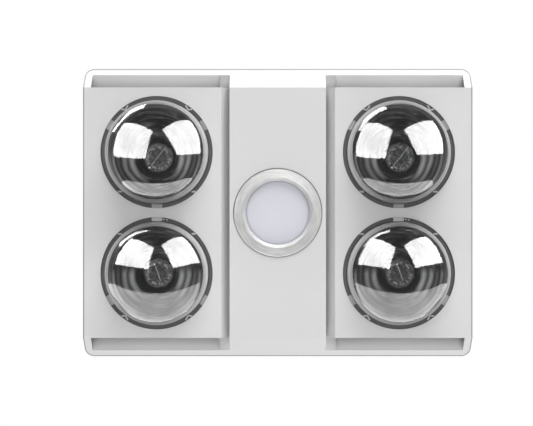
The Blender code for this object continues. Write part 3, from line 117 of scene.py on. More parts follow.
def skin(name, rings, closed=False, place=(0, 0, 0)):
    """A surface over rings of points; a ring of one point is a tip."""
    shape = bmesh.new()
    rows = [[shape.verts.new(point) for point in ring] for ring in rings]
    pairs = list(zip(rows, rows[1:]))
    if closed:
        pairs.append((rows[-1], rows[0]))
    steps = max(len(row) for row in rows)
    for low, high in pairs:
        for here in range(steps):
            there = (here + 1) % steps
            corners = [low[here % len(low)], low[there % len(low)]]
            corners += [high[there % len(high)], high[here % len(high)]]
            corners = list(dict.fromkeys(corners))
            if len(corners) > 2:
                shape.faces.new(corners)
    return add(name, mesh_of(name, shape), place)


def ring_at(radius, height, steps):
    if radius < 0.01 * MM:
        return [(0, 0, height)]
    return [(x, y, height) for x, y in circle(radius, steps)]


def rings_at(profile, steps):
    return [ring_at(radius, height, steps) for radius, height in profile]


def rounded(outline, radius, closed):
    """The outline with every corner drawn as a small arc."""
    smooth, steps = [], 3
    for index, corner in enumerate(outline):
        if not closed and index in (0, len(outline) - 1):
            smooth.append(tuple(corner))
            continue
        here = Vector(corner)
        back = Vector(outline[index - 1]) - here
        on = Vector(outline[(index + 1) % len(outline)]) - here
        reach = min(radius, back.length * 0.45, on.length * 0.45)
        start, end = here + back.normalized() * reach, here + on.normalized() * reach
        for step in range(steps + 1):
            t = step / steps
            smooth.append(tuple(start * (1 - t) ** 2 + here * 2 * t * (1 - t) + end * t * t))
    return smooth


def turned(name, profile, edge, steps, closed=True, place=(0, 0, 0)):
    """A profile of (radius, height) turned round Z, its corners rounded."""
    points = rounded(profile, edge, closed) if edge else profile
    return smooth(skin(name, rings_at(points, steps), closed, place))


def curve_through(points):
    """A smooth line through the points."""
    line, steps = [], 6
    for index in range(len(points) - 1):
        a = Vector(points[max(index - 1, 0)])
        b, c = Vector(points[index]), Vector(points[index + 1])
        d = Vector(points[min(index + 2, len(points) - 1)])
        for step in range(steps):
            t = step / steps
            line.append(tuple(b + (c - a) * t / 2 + (2 * a - 5 * b + 4 * c - d) * t**2 / 2
                              + (3 * b - 3 * c + d - a) * t**3 / 2))
    return line + [tuple(points[-1])]


def circle(radius, steps, centre=(0, 0), start=0.0, sweep=math.tau):
    count = steps if sweep == math.tau else steps + 1
    turns = [start + sweep * step / steps for step in range(count)]
    return [(centre[0] + radius * math.cos(turn), centre[1] + radius * math.sin(turn)) for turn in turns]


def rectangle(length, width, centre=(0, 0), corner=0.0, steps=4):
    points = []
    for quarter, (side, end) in enumerate([(1, 1), (-1, 1), (-1, -1), (1, -1)]):
        x = centre[0] + side * (length / 2 - corner)
        y = centre[1] + end * (width / 2 - corner)
        if corner:
            points += circle(corner, steps, (x, y), quarter * math.pi / 2, math.pi / 2)
        else:
            points.append((x, y))
    return points


def settled(source):
    """The object's shape with its modifiers worked in, as a mesh of its own."""
    bpy.context.view_layer.update()
    seen = source.evaluated_get(bpy.context.evaluated_depsgraph_get())
    mesh = bpy.data.meshes.new_from_object(seen)
    bpy.data.objects.remove(source)
    shape = bmesh.new()
    shape.from_mesh(mesh)
    bmesh.ops.remove_doubles(shape, verts=shape.verts, dist=0.01 * MM)
    shape.to_mesh(mesh)
    shape.free()
    return mesh


def plate(name, loops, low, high):
    """A flat outline in XY, with holes as further loops, from height low to high."""
    drawing = bpy.data.curves.new(name, "CURVE")
    drawing.dimensions = "2D"
    drawing.fill_mode = "BOTH"
    drawing.extrude = (high - low) / 2
    for loop in loops:
        line = drawing.splines.new("POLY")
        line.points.add(len(loop) - 1)
        for point, (x, y) in zip(line.points, loop):
            point.co = (x, y, 0, 1)
        line.use_cyclic_u = True
    mesh = settled(add(name, drawing))
    mesh.transform(Matrix.Translation((0, 0, (low + high) / 2)))
    return add(name, mesh)


SECTION_TURN = {
    "X": Matrix(((0, 0, 1, 0), (1, 0, 0, 0), (0, 1, 0, 0), (0, 0, 0, 1))),
    "Y": Matrix(((1, 0, 0, 0), (0, 0, -1, 0), (0, 1, 0, 0), (0, 0, 0, 1))),
}


def beam(name, section, axis, *ends):
    """A section drawn across the X or Y axis and run along it between two ends."""
    part = plate(name, [section], min(ends), max(ends))
    part.data.transform(SECTION_TURN[axis])
    return part


def block(name, corner, other, edge=0.0):
    low, high = Vector(map(min, corner, other)), Vector(map(max, corner, other))
    part = plate(name, [rectangle(high.x - low.x, high.y - low.y, (low.xy + high.xy) / 2)], low.z, high.z)
    return smooth(part, edge) if edge else part


def joined(name, things):
    """Several pieces of one finish as one mesh."""
    shape = bmesh.new()
    for thing in things:
        matrix = thing.matrix_basis.copy()
        mesh = settled(thing)
        mesh.transform(matrix)
        shape.from_mesh(mesh)
    return smooth(add(name, mesh_of(name, shape)))


def with_tools(part, operation, *tools):
    name = part.name
    for tool in tools:
        step = part.modifiers.new("Form", "BOOLEAN")
        step.operation = operation
        step.solver = "EXACT"
        step.object = tool
    mesh = settled(part)
    for tool in tools:
        bpy.data.objects.remove(tool)
    return add(name, mesh)


def copies(name, mesh, places):
    """One mesh repeated at a list of matrices."""
    shape = bmesh.new()
    for place in places:
        one = mesh.copy()
        one.transform(place)
        shape.from_mesh(one)
    return smooth(add(name, mesh_of(name, shape)))


def smooth(part, edge=0.0, angle=35, segments=2):
    """Soft edges and even shading."""
    part.data.shade_smooth()
    if edge:
        soft = part.modifiers.new("Edges", "BEVEL")
        soft.width = edge
        soft.segments = segments
        soft.limit_method = "ANGLE"
        soft.angle_limit = math.radians(angle)
        soft.use_clamp_overlap = True
        soft.miter_outer = "MITER_ARC"
        soft.harden_normals = True
    else:
        even = part.modifiers.new("Shading", "WEIGHTED_NORMAL")
        even.keep_sharp = False
    return part


def wires(name, paths, thickness, place):
    """Round wires along the paths."""
    drawing = bpy.data.curves.new(name, "CURVE")
    drawing.dimensions = "3D"
    drawing.bevel_depth = thickness / 2
    drawing.bevel_resolution = 3
    drawing.use_fill_caps = True
    for path in paths:
        line = drawing.splines.new("POLY")
        line.points.add(len(path) - 1)
        for point, spot in zip(line.points, path):
            point.co = (*spot, 1)
        line.use_smooth = True
    return smooth(add(name, settled(add(name, drawing)), place))


def thread(radius, depth, pitch, low, high, steps=48):
    """Rings of a rounded thread on a rod, its ends fading out."""
    rows, per_turn = [], 8
    count = int((high - low) / pitch * per_turn)
    for row in range(count + 1):
        share = row / count
        height = low + (high - low) * share
        fade = min(1, 10 * share, 10 * (1 - share))
        ring = []
        for step in range(steps):
            turn = math.tau * step / steps
            wave = math.cos(math.tau * height / pitch - turn) - 1
            ring.append(polar(radius + depth / 2 * wave * fade, turn, height))
        rows.append(ring)
    return rows


def make_screws(name, radius, height, places, finish="zinc"):
    """Pan heads with a cross recess, on the given matrices."""
    profile = [(0, height), (radius * 0.7, height), (radius, height * 0.45), (radius, 0), (0, 0)]
    head = turned(name, profile, height * 0.3, 20, closed=False)
    base, half, arm = height * 0.55, radius * 0.12, radius * 0.62
    cross = [block("slot", (-x, -y, base), (x, y, height * 2)) for x, y in ((arm, half), (half, arm))]
    head = with_tools(head, "DIFFERENCE", *cross)
    mesh = head.data
    bpy.data.objects.remove(head)
    dress(copies(name, mesh, places), finish)


# Finishes


class Shade:
    """A number that varies over a surface; sums and products add Math nodes."""

    def __init__(self, paint, socket):
        self.paint, self.socket = paint, socket

    def __add__(self, other):
        return self.paint.sum_up("ADD", self, other)

    def __sub__(self, other):
        return self.paint.sum_up("SUBTRACT", self, other)

    def __rsub__(self, other):
        return self.paint.sum_up("SUBTRACT", other, self)

    def __mul__(self, other):
        return self.paint.sum_up("MULTIPLY", self, other)

    def __truediv__(self, other):
        return self.paint.sum_up("DIVIDE", self, other)

    def __pow__(self, other):
        return self.paint.sum_up("POWER", self, other)

    def __gt__(self, other):
        return self.paint.sum_up("GREATER_THAN", self, other)

    def __lt__(self, other):
        return self.paint.sum_up("LESS_THAN", self, other)

    __radd__ = __add__
    __rmul__ = __mul__


class Nodes:
    """The nodes of a material or of the world."""

    def __init__(self, owner):
        owner.use_nodes = True
        self.tree = owner.node_tree

    def join(self, socket, value):
        if isinstance(value, Shade):
            self.tree.links.new(value.socket, socket)
        elif socket.type == "RGBA" and len(value) == 3:
            socket.default_value = (*value, 1)
        else:
            socket.default_value = value

    def node(self, kind, settings=None, sockets=None, output=0):
        made = self.tree.nodes.new(kind)
        for name, value in (settings or {}).items():
            if name == "stops":
                ramp = made.color_ramp
                while len(ramp.elements) < len(value):
                    ramp.elements.new(0.5)
                for stop, (spot, colour) in zip(ramp.elements, value):
                    stop.position, stop.color = spot, (*colour, 1)
            else:
                setattr(made, name, value)
        for name, value in (sockets or {}).items():
            self.join(made.inputs[name], value)
        return Shade(self, made.outputs[output])

    def sum_up(self, operation, *values):
        return self.node("ShaderNodeMath", {"operation": operation}, dict(enumerate(values)))

    def at_least(self, value, floor):
        return self.sum_up("MAXIMUM", value, floor)

    def size_of(self, value):
        return self.sum_up("ABSOLUTE", value)

    def span(self, value, low, high, to_low=0.0, to_high=1.0):
        sockets = {"Value": value, "From Min": low, "From Max": high, "To Min": to_low, "To Max": to_high}
        return self.node("ShaderNodeMapRange", {"clamp": True}, sockets)


class Paint(Nodes):
    """One finish: a material and the nodes that drive it."""

    def __init__(self, name, **fixed):
        self.material = bpy.data.materials.new(name)
        super().__init__(self.material)
        self.shader = self.tree.nodes["Principled BSDF"]
        for socket, value in fixed.items():
            self.feed(socket.replace("_", " "), value)

    def feed(self, socket, value):
        self.join(self.shader.inputs[socket], value)
        return self

    def spot(self, stretch=(1, 1, 1)):
        here = self.node("ShaderNodeTexCoord", output="Object")
        return self.node("ShaderNodeMapping", sockets={"Vector": here, "Scale": stretch})

    def axis(self, which):
        return self.node("ShaderNodeSeparateXYZ", sockets={0: self.spot()}, output=which)

    def radius(self):
        return self.node("ShaderNodeVectorMath", {"operation": "LENGTH"}, {0: self.spot((1, 1, 0))}, 1)

    def facing(self, which):
        normal = self.node("ShaderNodeTexCoord", output="Normal")
        return self.node("ShaderNodeSeparateXYZ", sockets={0: normal}, output=which)

    def noise(self, scale, detail, stretch=(1, 1, 1), at=None):
        spot = at or self.spot(stretch)
        return self.node("ShaderNodeTexNoise", sockets={"Vector": spot, "Scale": scale, "Detail": detail})

    def cells(self, scale, output=0):
        sockets = {"Vector": self.spot(), "Scale": scale}
        return self.node("ShaderNodeTexVoronoi", sockets=sockets, output=output)

    def blend(self, factor, first, second):
        return self.node("ShaderNodeMix", {"data_type": "RGBA"}, {0: factor, 6: first, 7: second}, 2)

    def round_grain(self, fineness, length):
        """Noise drawn out round the Z axis, as a lathe or a brush leaves it."""
        x, y = self.axis("X"), self.axis("Y")
        turn = self.sum_up("ARCTAN2", y, x)
        sockets = {"X": self.radius() * fineness, "Y": turn * length, "Z": self.axis("Z") * fineness}
        return self.noise(1.0, 4.0, at=self.node("ShaderNodeCombineXYZ", sockets=sockets))

    def bump(self, height, depth, strength):
        sockets = {"Strength": strength, "Distance": depth, "Height": height}
        return self.node("ShaderNodeBump", sockets=sockets)

    def relief(self, height, depth, strength):
        return self.feed("Normal", self.bump(height, depth, strength))

    def colour(self, factor, first, second):
        return self.feed("Base Color", self.blend(factor, first, second))

    def gloss(self, factor, low, high, to_low, to_high):
        return self.feed("Roughness", self.span(factor, low, high, to_low, to_high))


def grey(level):
    return (level, level, level)


def scaled(colour, factor):
    return tuple(min(1, part * factor) for part in colour)


def moulded(name, colour, gloss, grain=0.02 * MM, uneven=0.03):
    """Injection-moulded plastic: an even colour, faint flow marks and a fine grain."""
    paint = Paint(name)
    flow = paint.noise(14, 4, (1, 1, 2.5))
    tint = flow * 0.7 + paint.noise(900, 2) * 0.3
    paint.colour(tint, scaled(colour, 1 - uneven), scaled(colour, 1 + uneven))
    paint.gloss(paint.noise(70, 3), 0.25, 0.75, gloss - 0.05, gloss + 0.07)
    return paint.relief(paint.noise(1600, 3) * 0.7 + flow * 0.3, grain, 0.5).material


def sheet_metal(name, colour, gloss, metallic=0.9, direction=(1, 14, 1)):
    """Rolled sheet: long fine marks, handling stains and a slight waviness."""
    paint = Paint(name, Metallic=metallic)
    marks = paint.noise(120, 6, direction)
    stains = paint.noise(9, 5)
    paint.colour(marks * 0.5 + stains * 0.5, scaled(colour, 0.88), scaled(colour, 1.12))
    paint.gloss(marks * 0.6 + stains * 0.4, 0.3, 0.7, gloss - 0.08, gloss + 0.12)
    return paint.relief(marks * 0.3 + paint.noise(7, 2) * 0.7, 0.1 * MM, 0.35).material


def white_moulding():
    """White satin plastic, with painted light and shade: the face painted lighter towards +Y, the air slots
    painted lighter with painted shade at their ends, and a thin painted shade line at its outer edge.
    """
    paint = Paint("white_moulding")
    flow = paint.noise(6, 4, (1, 1, 2))
    aside, along = paint.size_of(paint.axis("X")), paint.size_of(paint.axis("Y"))
    mouth, end = FACE_WIDTH / 2, FASCIA_LENGTH / 2 - SLOT_END_BAND
    # Painted light: the face is painted lighter towards +Y, to lift the shade that the lamps cast there.
    lower = paint.span(paint.axis("Y"), 30 * MM, 100 * MM) * (along < mouth)
    white = paint.blend(flow, (0.705, 0.705, 0.703), (0.735, 0.735, 0.733))
    white = paint.blend(lower, white, paint.blend(flow, (0.745, 0.745, 0.743), (0.785, 0.785, 0.783)))

    # Painted light and shade in the air slots: their floors are painted lighter than the plastic, less so
    # next to the mouth, and painted shade darkens their outer ends next to the pads (more on the +X side),
    # the upper slots' inner ends beside the grooves, and the end walls.
    slots = (paint.axis("Z") > FACE_Z + SLOT_RISE - 0.2 * MM) * (along < FASCIA_WIDTH / 2 - 8.6 * MM)
    floor = paint.blend(paint.span(along, mouth + 2 * MM, mouth + 12 * MM), grey(0.8), grey(0.93))
    slot_end_shade = paint.span(aside, end - 6 * MM, end + 1 * MM)
    slot_end_shade = slot_end_shade * paint.span(along, mouth + 15 * MM, mouth + 3 * MM)
    slot_end_shade = slot_end_shade * paint.span(paint.axis("X"), -1 * MM, 1 * MM, 0.5, 0.9)
    pale = paint.blend(slots, white, paint.blend(slot_end_shade, floor, grey(0.45)))
    rib = (aside < CENTRE_PAD / 2 + GROOVE_WIDTH + 2 * MM) * (paint.axis("Y") < -mouth - 0.2 * MM)
    rib_shade = paint.blend(paint.span(along, mouth + 2 * MM, mouth + 9 * MM), grey(0.48), grey(0.73))
    pale = paint.blend(slots * rib, pale, rib_shade)
    end_wall_shade = (paint.size_of(aside - end) < 0.6 * MM) * (paint.size_of(paint.facing("X")) > 0.5)
    pale = paint.blend(end_wall_shade, pale, grey(0.36))

    # Painted shade: a thin darker line along the outer edge of the downward faces, darkest on the -Y side.
    beyond_x = paint.at_least(aside - (FASCIA_LENGTH / 2 - FASCIA_CORNER), 0)
    beyond_y = paint.at_least(along - (FASCIA_WIDTH / 2 - FASCIA_CORNER), 0)
    outline = (beyond_x * beyond_x + beyond_y * beyond_y) > (FASCIA_CORNER - 1.3 * MM) ** 2
    line = paint.blend(paint.axis("Y") < 4 * MM - FASCIA_WIDTH / 2, grey(0.29), grey(0.2))
    paint.colour(outline * (paint.facing("Z") < -0.25), pale, line)
    paint.gloss(paint.noise(60, 3), 0.25, 0.75, 0.36, 0.46)
    return paint.relief(paint.noise(1100, 4), 0.015 * MM, 0.5).material


def clear_glass():
    """Thin blown glass: see-through, mirroring more towards its edges."""
    paint = Paint("clear_glass")
    through = paint.node("ShaderNodeBsdfTransparent", sockets={"Color": (0.8, 0.805, 0.81)})
    ripple = paint.bump(paint.noise(22, 2), 0.2 * MM, 0.03)
    sockets = {"Color": (1, 1, 1), "Roughness": 0.05, "Normal": ripple}
    mirror = paint.node("ShaderNodeBsdfGlossy", sockets=sockets)
    share = paint.node("ShaderNodeFresnel", sockets={"IOR": 1.4})
    smudge = paint.span(paint.noise(40, 5), 0.4, 0.75, 0.0, 0.012)
    mix = paint.node("ShaderNodeMixShader", sockets={0: share + smudge, 1: through, 2: mirror})
    paint.join(paint.tree.nodes["Material Output"].inputs["Surface"], mix)
    paint.tree.nodes.remove(paint.shader)
    return paint.material


def frosted_coating():
    """The bulb's outside where it is coated: silky grey and streaked, with painted light and shade on the
    band next to the clear front, brighter at its left and right sides and towards its widest ring.
    """
    paint = Paint("bulb_coating")
    streaks = paint.round_grain(900, 1.5)
    scorch = paint.span(paint.axis("Z"), 0.045, 0.085)
    band = paint.axis("Z") < FACE_Z + 1 * MM
    silver = paint.blend(streaks, grey(0.4), grey(0.5))
    # Painted light and shade on the band: brighter at the left and right sides and towards the widest ring,
    # darker at the top, the bottom and next to the clear front.
    aside = (paint.axis("X") / paint.radius()) ** 2
    outer = paint.blend(aside, grey(0.36), grey(0.85))
    inner = paint.blend(aside, grey(0.16), grey(0.38))
    rim = paint.blend(paint.span(paint.radius(), BAND_RADIUS, LAMP_RADIUS), inner, outer)
    coat_with_painted_band = paint.blend(band, silver, rim)
    paint.feed("Metallic", 0.8 - 0.5 * band)
    paint.colour(scorch * 0.55, coat_with_painted_band, (0.2, 0.17, 0.14))
    paint.gloss(paint.noise(50, 4), 0.3, 0.7, 0.38, 0.5)
    return paint.relief(streaks, 0.02 * MM, 0.3).material


def dark_mirror():
    """The reflector inside the bulb, with painted reflections: uneven bright rings that stay bright at the
    two sides, darkened towards the top and bottom, and a painted shade in the throat.
    """
    paint = Paint("bulb_mirror", Metallic=0.35)
    height = paint.axis("Z")
    drift = paint.noise(18, 2)
    place = paint.span(height, LINING_LOW, LINING_TOP) + (drift - 0.5) * 0.16
    # Painted reflections: bands of bright and dark grey up the reflector.
    levels = [(0, 0.1), (0.1, 0.022), (0.17, 0.2), (0.24, 0.022), (0.33, 0.6), (0.4, 0.022), (0.5, 0.25),
              (0.58, 0.022), (0.68, 0.8), (0.76, 0.06), (0.84, 0.7), (0.9, 0.012)]
    stops = [(spot, grey(level)) for spot, level in levels]
    rings = paint.node("ShaderNodeValToRGB", {"stops": stops}, {0: place})
    aside = paint.size_of(paint.axis("X")) / paint.radius()
    # The rings are darkened towards the top and bottom in uneven patches, and over the -Y half away from the
    # middle, so they stay bright at the two sides; the dark part has streaks of painted reflection.
    darker_top_and_bottom = paint.span(aside, 0.25, 0.9, 0.8, 0.0) + paint.span(paint.noise(26, 4), 0.35, 0.68) * 0.35
    shaded = paint.span(paint.axis("Y"), -6 * MM, 4 * MM, 0.95, 0.0) * paint.span(aside, 0.25, 0.5)
    streaks = paint.span(paint.round_grain(260, 1.6), 0.5, 0.74)
    black = paint.blend(streaks, grey(0.016), grey(0.27))
    # Painted reflections: the rings, dimmed into the streaked dark grey where the darkening is high.
    sooty = paint.blend(paint.at_least(darker_top_and_bottom, shaded), rings, black)
    # Painted shade: the throat at the top of the lining is near black.
    throat = paint.span(height, LINING_TOP - 2 * MM, LINING_TOP)
    paint.colour(throat, sooty, grey(0.004))
    paint.gloss(drift, 0.3, 0.7, 0.29, 0.38)
    return paint.relief(paint.round_grain(300, 0.4), 0.2 * MM, 0.3).material


def speckled_disc():
    """The heat baffle in the neck: sooty, with bright crumbs."""
    paint = Paint("neck_baffle", Metallic=0.3, Roughness=0.5)
    crumbs = paint.span(paint.noise(360, 5), 0.42, 0.72)
    ring = paint.radius()
    speckle_ring = paint.span(ring, 0.0105, 0.013) * paint.span(ring, 0.0165, 0.0135)
    dull = paint.blend(crumbs, grey(0.006), grey(0.13))
    paint.colour(speckle_ring * crumbs, dull, grey(0.42))
    return paint.relief(crumbs, 0.4 * MM, 0.7).material


def brushed_ring():
    """Spun aluminium: fine rings round the axis under a thin clear lacquer."""
    paint = Paint("brushed_ring", Metallic=0.25)
    grain = paint.round_grain(1500, 2.2)
    coarse = paint.round_grain(480, 3)
    tint = grain * 0.3 + paint.span(coarse, 0.36, 0.64) * 0.7
    paint.colour(tint, (0.6, 0.6, 0.595), (0.8, 0.8, 0.795))
    paint.gloss(grain, 0.3, 0.7, 0.38, 0.52)
    return paint.relief(grain * 0.6 + coarse * 0.4, 0.03 * MM, 0.8).material


def opal():
    """Milky plastic, unlit, with painted shade that makes it a little darker at its edge."""
    paint = Paint("opal_diffuser", Roughness=0.5)
    cloud = paint.noise(30, 3)
    # Painted shade: darker towards the edge, under the trim ring's lip.
    edge = paint.span(paint.radius(), 0.034, 0.0385)
    middle = paint.blend(cloud, (0.74, 0.74, 0.815), (0.765, 0.765, 0.835))
    paint.colour(edge * 0.6, middle, (0.7, 0.7, 0.775))
    return paint.relief(paint.noise(1400, 2), 0.02 * MM, 0.4).material


def galvanised():
    """Zinc-coated sheet with its frost-flower spangle."""
    paint = Paint("galvanised_sheet", Metallic=0.85)
    flower = paint.node("ShaderNodeSeparateColor", sockets={0: paint.cells(150, output=1)})
    stains = paint.noise(6, 5)
    tint = flower * 0.5 + stains * 0.5
    paint.colour(tint, (0.34, 0.352, 0.365), (0.5, 0.512, 0.525))
    paint.gloss(tint, 0.2, 0.8, 0.34, 0.55)
    return paint.relief(flower * 0.4 + paint.noise(8, 2) * 0.6, 0.08 * MM, 0.3).material


def coated_sheet():
    """Dark powder-coated steel with an orange-peel skin."""
    paint = Paint("dark_powder_coat")
    dust = paint.noise(11, 5)
    paint.colour(dust, (0.15, 0.152, 0.155), (0.23, 0.232, 0.235))
    paint.gloss(dust, 0.3, 0.7, 0.42, 0.58)
    return paint.relief(paint.noise(420, 3), 0.06 * MM, 0.5).material


def plated(name, colour, gloss=0.26, fineness=900):
    """Turned and plated metal with fine tool rings and dulled patches."""
    paint = Paint(name, Metallic=1.0)
    rings = paint.round_grain(fineness, 0.8)
    dull = paint.noise(90, 4)
    tint = rings * 0.5 + dull * 0.5
    paint.colour(tint, scaled(colour, 0.78), scaled(colour, 1.08))
    paint.gloss(dull, 0.3, 0.7, gloss - 0.06, gloss + 0.14)
    return paint.relief(rings, 0.02 * MM, 0.5).material


def porcelain():
    """Glazed porcelain with a few fine pits."""
    paint = Paint("porcelain", Coat_Weight=0.5, Coat_Roughness=0.08)
    cloud = paint.noise(60, 4)
    pits = paint.span(paint.cells(600), 0.0, 0.16, 1.0, 0.0)
    glaze = paint.blend(cloud, (0.8, 0.785, 0.74), (0.88, 0.87, 0.83))
    paint.colour(pits * 0.35, glaze, (0.5, 0.45, 0.38))
    paint.gloss(cloud, 0.3, 0.7, 0.2, 0.34)
    return paint.relief(cloud - pits * 0.3, 0.1 * MM, 0.4).material


def motor_paint():
    """Dark paint with pale dust on it."""
    paint = Paint("motor_paint", Metallic=0.2)
    dust = paint.noise(16, 6)
    paint.colour(paint.span(dust, 0.45, 0.75), (0.035, 0.036, 0.038), (0.12, 0.12, 0.118))
    paint.gloss(dust, 0.3, 0.7, 0.34, 0.55)
    return paint.relief(paint.noise(500, 3), 0.04 * MM, 0.5).material


def board_finish():
    """White solder mask with copper pads showing in a grid."""
    paint = Paint("solder_mask", Roughness=0.4)
    pads = paint.span(paint.cells(140), 0.1, 0.14, 1.0, 0.0)
    paint.colour(pads, (0.76, 0.78, 0.76), (0.62, 0.45, 0.25))
    paint.feed("Metallic", pads * 0.8)
    return paint.relief(pads + paint.noise(300, 2) * 0.2, 0.03 * MM, 0.5).material


def plain_floor():
    """A pale floor, as bright to the camera as the photo's ground."""
    paint = Paint("studio_floor", Roughness=0.8)
    paint.colour(paint.noise(1.5, 3), grey(0.8), grey(0.84))
    seen = paint.node("ShaderNodeLightPath", output="Is Camera Ray")
    paint.feed("Emission Color", paint.blend(seen, (0, 0, 0), grey(0.36)))
    return paint.feed("Emission Strength", 1.0).material


FINISH = {
    "white_plastic": white_moulding(),
    "spigot_plastic": moulded("spigot_plastic", (0.7, 0.7, 0.69), 0.4),
    "clear_glass": clear_glass(),
    "bulb_coating": frosted_coating(),
    "bulb_mirror": dark_mirror(),
    "neck_baffle": speckled_disc(),
    "lead_wire": plated("lead_wire", grey(0.92), 0.3, 2000),
    "guard_grey": moulded("guard_grey", grey(0.66), 0.5, 0.03 * MM, 0.06),
    "guard_white": moulded("guard_white", grey(0.95), 0.35, 0.02 * MM, 0.03),
    "nickel": plated("nickel_plate", (0.72, 0.69, 0.62)),
    "filament_wire": plated("tungsten_wire", (0.42, 0.41, 0.4), 0.4, 3000),
    "porcelain": porcelain(),
    "brass": plated("brass", (0.76, 0.58, 0.28), 0.3),
    "bright_sheet": sheet_metal("bright_sheet", (0.66, 0.67, 0.68), 0.28),
    "dark_sheet": coated_sheet(),
    "trim_metal": brushed_ring(),
    "opal": opal(),
    "circuit_board": board_finish(),
    "galvanised": galvanised(),
    "spring_steel": sheet_metal("spring_steel", (0.46, 0.46, 0.48), 0.3, 1.0, (14, 14, 1)),
    "zinc": plated("zinc_plate", (0.66, 0.66, 0.6), 0.3),
    "bright_steel": plated("bright_steel", grey(0.6), 0.22),
    "motor_paint": motor_paint(),
    "grey_plastic": moulded("grey_plastic", (0.27, 0.28, 0.29), 0.48, 0.04 * MM, 0.08),
    "ivory_plastic": moulded("ivory_plastic", (0.78, 0.74, 0.64), 0.45, 0.02 * MM, 0.05),
    "black_plastic": moulded("black_plastic", (0.03, 0.03, 0.032), 0.42, 0.03 * MM, 0.2),
}


def dress(piece, finish, *nodes, body="housing_body"):
    """Gives a new piece its finish and body, and hides the CAD nodes it stands for."""
    piece.data.materials.clear()
    piece.data.materials.append(FINISH[finish])
    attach(piece, body)
    if nodes:
        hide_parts(*nodes)


def lathe(name, profile, edge, steps, finish, *nodes, place=(0, 0, 0), closed=False, body="housing_body"):
    """A turned piece with its finish, its body and the CAD nodes it stands for."""
    dress(turned(name, profile, edge, steps, closed, place), finish, *nodes, body=body)


def keep(node, finish):
    """Finishes a CAD node that stays, and softens its edges."""
    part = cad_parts[node]
    part.data.materials.clear()
    part.data.materials.append(FINISH[finish])
    flat = part.modifiers.new("Flat", "DECIMATE")
    flat.decimate_type = "DISSOLVE"
    flat.angle_limit = math.radians(1)
    soft = part.modifiers.new("Edges", "BEVEL")
    soft.width = 0.3 * MM
    soft.segments = 2
    soft.limit_method = "ANGLE"
    soft.angle_limit = math.radians(40)
    even = part.modifiers.new("Shading", "WEIGHTED_NORMAL")
    even.keep_sharp = False
    part.data.shade_smooth()


# Fascia


def chamfer_edge(height):
    return FASCIA_WIDTH / 2 + CHAMFER_RUN * height / FASCIA_DEPTH


def fascia_blank():
    rim = rectangle(FASCIA_LENGTH, FASCIA_WIDTH, corner=FASCIA_CORNER, steps=24)
    blank = plate("fascia_moulding", [rim], FACE_Z, 0)
    under_z = FACE_Z - OVERRUN
    over_y, under_y = chamfer_edge(OVERRUN), chamfer_edge(under_z)
    section = [(-over_y, OVERRUN), (-under_y, under_z), (under_y, under_z), (over_y, OVERRUN)]
    reach = FASCIA_LENGTH / 2 + OVERRUN
    return with_tools(blank, "INTERSECT", beam("chamfers", section, "X", -reach, reach))


def fascia_hollows():
    """What is taken out behind the three pads."""
    centre_x = CENTRE_PAD / 2 - FASCIA_WALL
    back = FASCIA_WALL * math.hypot(CHAMFER_RUN, FASCIA_DEPTH) / FASCIA_DEPTH
    low_y, high_y = chamfer_edge(FACE_BACK_Z) - back, chamfer_edge(OVERRUN) - back
    section = [(-low_y, FACE_BACK_Z), (low_y, FACE_BACK_Z), (high_y, OVERRUN), (-high_y, OVERRUN)]
    tools = [beam("hollow", section, "X", -centre_x, centre_x)]
    slope = GROOVE_WIDTH / GROOVE_DEPTH
    lean = math.hypot(GROOVE_WIDTH, GROOVE_DEPTH) / GROOVE_DEPTH
    face_x = CENTRE_PAD / 2 + GROOVE_WIDTH + FASCIA_WALL * lean
    near, far = face_x - slope * FASCIA_WALL, face_x - slope * (FASCIA_DEPTH + OVERRUN)
    outer, end_y = FASCIA_LENGTH / 2 - FASCIA_WALL, FACE_WIDTH / 2 - LIP_REACH
    for side in (-1, 1):
        section = [(side * near, FACE_BACK_Z), (side * outer, FACE_BACK_Z), (side * outer, OVERRUN),
                   (side * far, OVERRUN)]
        tools.append(beam("hollow", section, "Y", -end_y, end_y))
    return tools


def fascia_slots():
    """The four air slots, and the hollows above their lips."""
    tools = []
    near_x, far_x = CENTRE_PAD / 2, FASCIA_LENGTH / 2 - SLOT_END_BAND
    mouth_y, outer_z = FACE_WIDTH / 2, FACE_Z + SLOT_RISE
    outer_y = chamfer_edge(outer_z)
    inner_y = mouth_y - LIP_REACH - OVERRUN
    slope = (SLOT_RISE - FASCIA_DEPTH + LIP_TOP) / (outer_y - mouth_y + LIP_REACH)
    inner_z = outer_z - slope * (outer_y - inner_y)
    lip_z = outer_z + SLOT_LIP
    lip_y = chamfer_edge(lip_z) - FASCIA_WALL - SLOT_LIP
    rim_y = FASCIA_WIDTH / 2 - FASCIA_WALL - SLOT_LIP
    rib_x = near_x + GROOVE_WIDTH + 2 * MM
    mouth_z = outer_z - slope * (outer_y - mouth_y)
    mouth = [(mouth_y, FACE_Z - OVERRUN), (outer_y + OVERRUN, outer_z - OVERRUN), (outer_y, outer_z),
             (mouth_y, mouth_z)]
    whole = [*mouth[:3], (inner_y, inner_z), (inner_y, FACE_BACK_Z), (mouth_y, FACE_BACK_Z)]
    rim = [(inner_y, OVERRUN), (inner_y, SLOT_LIP - LIP_TOP), (lip_y, lip_z), (rim_y, 0), (rim_y, OVERRUN)]
    for side, end in CORNERS:
        for section, start_x, end_x in ((mouth, near_x, rib_x), (whole, rib_x, far_x), (rim, rib_x, far_x)):
            section = [(end * y, z) for y, z in section]
            tools.append(beam("slot", section, "X", side * start_x, side * end_x))
    return tools


